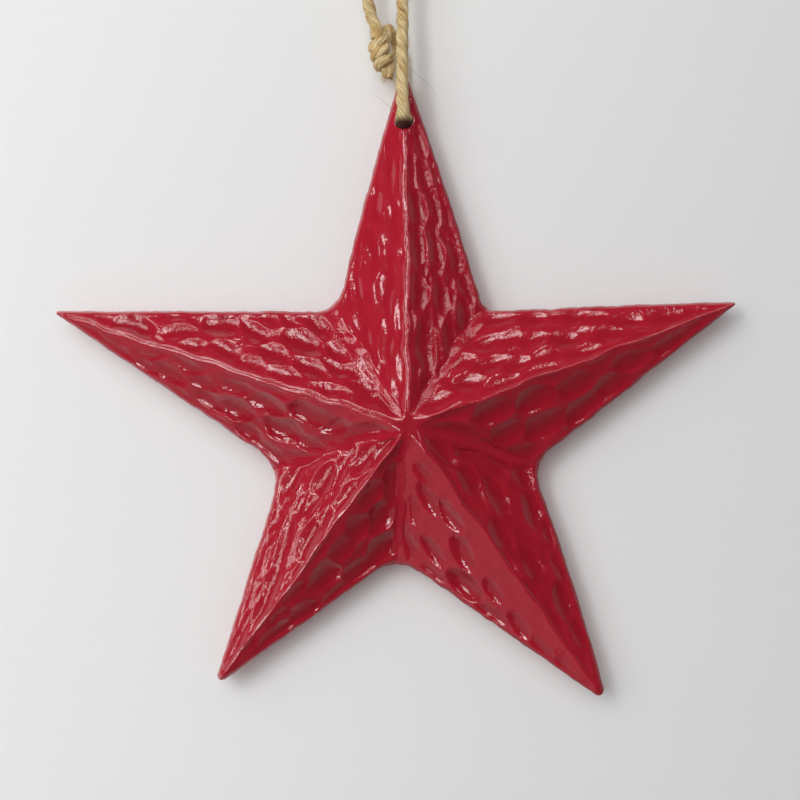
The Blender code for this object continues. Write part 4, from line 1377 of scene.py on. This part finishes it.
def wall_paper(settings):
    """A pale matt wall that is only there from the front and lets light from behind in."""
    made, tree, shader = material("wall", (settings.wall_tone,) * 3, 0.9)
    shader.inputs["Specular IOR Level"].default_value = 0.1
    place = node(tree, "ShaderNodeTexCoord").outputs["Object"]
    rightwards = node(tree, "ShaderNodeSeparateXYZ", {0: place}).outputs["X"]
    # Painted shade: the wall's colour darkens towards the right, where less light falls on it.
    painted_shade_tones = (settings.wall_tone, settings.wall_tone * 0.86)
    fade = mapped(tree, rightwards, (-0.11, 0.11), painted_shade_tones)
    tone = calculated(tree, "MULTIPLY_ADD", noise(tree, place, 5.0, 1.0), 0.03, fade)
    # In the gloss the wall is dimmer towards the right, as painted shade in its reflections.
    path = node(tree, "ShaderNodeLightPath").outputs
    darker = mapped(tree, rightwards, (-0.05, 0.01), (0.0, 0.58))
    dimmed = calculated(tree, "MULTIPLY", path["Is Glossy Ray"], darker)
    left_over = calculated(tree, "SUBTRACT", 1.0, dimmed)
    tone = calculated(tree, "MULTIPLY", tone, left_over)
    grey = node(tree, "ShaderNodeCombineColor", {0: tone, 1: tone, 2: tone}).outputs[0]
    tree.links.new(grey, shader.inputs["Base Color"])
    from_behind = node(tree, "ShaderNodeNewGeometry").outputs["Backfacing"]
    open_way = calculated(tree, "MAXIMUM", from_behind, path["Is Shadow Ray"])
    nothing = node(tree, "ShaderNodeBsdfTransparent").outputs[0]
    shown = node(tree, "ShaderNodeMixShader", {0: open_way, 1: shader.outputs[0], 2: nothing})
    tree.links.new(shown.outputs[0], tree.nodes["Material Output"].inputs["Surface"])
    return made


def lamp(name, place, aim, size, power, colour=WHITE):
    """A rectangular lamp that is turned towards its aim."""
    light = bpy.data.lights.new(name, "AREA")
    light.shape = "RECTANGLE"
    light.size, light.size_y = size
    light.energy = power
    light.color = colour
    obj = linked(bpy.data.objects.new(name, light))
    obj.location = place
    obj.rotation_euler = (Vector(aim) - Vector(place)).to_track_quat("-Z", "Y").to_euler()
    return obj


class ORNAMENT_OT_stage(bpy.types.Operator):
    """Camera, wall, lamps and room light"""

    bl_idname = "ornament.stage"
    bl_label = "Stage"

    def execute(self, context):
        settings = context.scene.ornament_stage
        camera = bpy.data.cameras.new("camera")
        camera.sensor_width = 36.0
        camera.lens = 36.0 * settings.camera_distance / settings.picture_width
        camera.clip_start = 0.01
        eye = linked(bpy.data.objects.new("camera", camera))
        eye.location = (
            settings.camera_side,
            -settings.camera_distance,
            settings.camera_height,
        )
        eye.rotation_euler = (math.pi / 2, 0.0, 0.0)
        context.scene.camera = eye

        half = settings.wall_size / 2
        mesh = bpy.data.meshes.new("wall")
        corners = [(-half, -half), (half, -half), (half, half), (-half, half)]
        mesh.from_pydata([(x, 0.0, z) for x, z in corners], [], [(0, 1, 2, 3)])
        mesh.materials.append(wall_paper(settings))
        wall = linked(bpy.data.objects.new("wall", mesh))
        wall.location = (0.0, settings.wall_place, settings.camera_height)

        centre = (0.0, 0.0, settings.camera_height)
        soft = lamp("front", (-0.52, -1.12, 0.24), centre, (1.6, 1.4), settings.front_power)
        soft.visible_glossy = False
        lamp("behind", (0.35, 1.25, 0.30), centre, (0.8, 0.8), settings.behind_power)
        lamp("key", (-0.58, -1.10, 0.22), centre, (0.20, 0.62), settings.key_power)
        # Seen only in the gloss: small bright lamps and windows, and wide dim glows.
        for name, place, size, power, colour in (
            ("core", (-0.66, -1.12, 0.02), (0.09, 0.10), settings.core_power, WHITE),
            ("above", (-0.02, -1.06, 0.43), (0.17, 0.40), settings.above_power, WHITE),
            ("left", (-0.78, -1.03, 0.00), (0.20, 0.12), settings.glint_power, WHITE),
            ("right", (0.63, -1.05, 0.05), (0.36, 0.08), settings.glint_power, WHITE),
            ("low", (-0.40, -0.98, -0.74), (0.25, 0.30), settings.low_power, WHITE),
            ("high", (-0.50, -0.65, 0.72), (0.34, 0.30), settings.high_power, WHITE),
            ("overhead", (-0.04, -0.74, 0.80), (0.30, 0.26), settings.overhead_power, WHITE),
            ("window", (-1.08, -0.60, 0.14), (0.15, 0.26), settings.window_power, WHITE),
            ("door", (-1.12, -0.45, -0.14), (0.16, 0.24), settings.door_power, WHITE),
            ("side", (0.74, -0.78, 0.52), (0.50, 0.40), settings.side_power, (1.0, 0.92, 0.92)),
            ("table", (-0.65, -0.40, -1.10), (0.9, 0.9), settings.table_power, (1.0, 0.96, 0.96)),
            ("floor", (0.70, -0.35, -1.08), (0.8, 0.8), settings.floor_power, (1.0, 0.82, 0.76)),
        ):
            lamp(name, place, centre, size, power, colour).visible_diffuse = False

        world = bpy.data.worlds.new("room")
        context.scene.world = world
        world.use_nodes = True
        tree = world.node_tree
        ground = tree.nodes["Background"]
        ground.inputs["Color"].default_value = (1.0, 1.0, 1.0, 1.0)
        path = node(tree, "ShaderNodeLightPath").outputs
        strengths = (settings.sky_strength, settings.sky_gloss)
        room = mapped(tree, path["Is Glossy Ray"], (0.0, 1.0), strengths)
        strength = node(
            tree,
            "ShaderNodeMix",
            {"Factor": path["Is Camera Ray"], "A": room, "B": settings.sky_seen},
            data_type="FLOAT",
        ).outputs["Result"]
        tree.links.new(strength, ground.inputs["Strength"])
        context.scene.view_settings.view_transform = "Standard"
        return {"FINISHED"}


class ORNAMENT_OT_star(bpy.types.Operator):
    """The carved, painted star with its drilled hole"""

    bl_idname = "ornament.star"
    bl_label = "Star"

    def execute(self, context):
        settings = context.scene.ornament_star
        mesh, hole = star_body(settings)
        shift = np.array([-hole[0], 0.0, -HANG_DROP - hole[1]])
        points = np.empty(len(mesh.vertices) * 3)
        mesh.vertices.foreach_get("co", points)
        mesh.vertices.foreach_set("co", (points.reshape(-1, 3) + shift).ravel())
        mesh.materials.append(red_enamel(settings))
        star = linked(bpy.data.objects.new("carved_star", mesh))
        drill(star, np.array([0.0, 0.0, -HANG_DROP]), settings, bare_wood(settings))
        shade_star(star.data)
        if len(star.data.polygons) < len(mesh.polygons) / 2:
            raise RuntimeError("the star was lost when its hole was cut")
        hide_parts("star_body")
        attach(star, "star")
        return {"FINISHED"}


class ORNAMENT_OT_twine(bpy.types.Operator):
    """The three-ply twine, its knot and its stray fibres"""

    bl_idname = "ornament.twine"
    bl_label = "Twine and knot"

    def execute(self, context):
        settings = context.scene.ornament_twine
        spun = spun_fibres(settings)
        fibre = jute("jute", spun, 0.45)
        knotted = jute("jute_knot", spun, 0.7)
        line, length = smooth_curve(LOOP_ROUTE[::-1] + SLING_ROUTE + LEAD_ROUTE, settings.step)
        twine = laid_twine("jute_twine", [line], settings.diameter, settings, fibre, swelling=0.75)
        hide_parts("hanging_loop", "twine_sling", "knot_lead")
        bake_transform(twine)
        strands = knot_strands(settings.step)
        knot = laid_twine("jute_knot", strands, settings.knot_strand, settings, knotted, taper=1.0)
        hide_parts("knot", "knot_end_front", "knot_end_back")
        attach(knot, "hanger")
        fibres = stray_fibres(
            "jute_fibres", [line], settings.diameter, settings.fibres, 0, HAIRS, settings, fibre
        )
        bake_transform(fibres)
        thick, count = settings.knot_strand, settings.knot_fibres
        fuzz = stray_fibres("knot_fibres", strands, thick, count, 60, (), settings, knotted)
        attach(fuzz, "hanger")
        return {"FINISHED"}


class ORNAMENT_PT_panel(bpy.types.Panel):
    """Settings of the ornament and the buttons that build it"""

    bl_idname = "ORNAMENT_PT_panel"
    bl_label = "Carved star"
    bl_space_type = "VIEW_3D"
    bl_region_type = "UI"
    bl_category = "Ornament"

    def draw(self, context):
        for group, operator in (
            (context.scene.ornament_stage, ORNAMENT_OT_stage),
            (context.scene.ornament_star, ORNAMENT_OT_star),
            (context.scene.ornament_twine, ORNAMENT_OT_twine),
        ):
            box = self.layout.box()
            for name in group.bl_rna.properties.keys():
                if name not in ("rna_type", "name"):
                    box.prop(group, name)
            box.operator(operator.bl_idname)


CLASSES = (
    OrnamentStage,
    OrnamentStar,
    OrnamentTwine,
    ORNAMENT_OT_stage,
    ORNAMENT_OT_star,
    ORNAMENT_OT_twine,
    ORNAMENT_PT_panel,
)


def register():
    for item in CLASSES:
        bpy.utils.register_class(item)
    scene = bpy.types.Scene
    scene.ornament_stage = bpy.props.PointerProperty(type=OrnamentStage)
    scene.ornament_star = bpy.props.PointerProperty(type=OrnamentStar)
    scene.ornament_twine = bpy.props.PointerProperty(type=OrnamentTwine)


def unregister():
    for name in ("ornament_stage", "ornament_star", "ornament_twine"):
        delattr(bpy.types.Scene, name)
    for item in reversed(CLASSES):
        bpy.utils.unregister_class(item)


def main():
    register()
    bpy.ops.ornament.stage()
    bpy.ops.ornament.twine()
    bpy.ops.ornament.star()


if __name__ == "__main__":
    main()
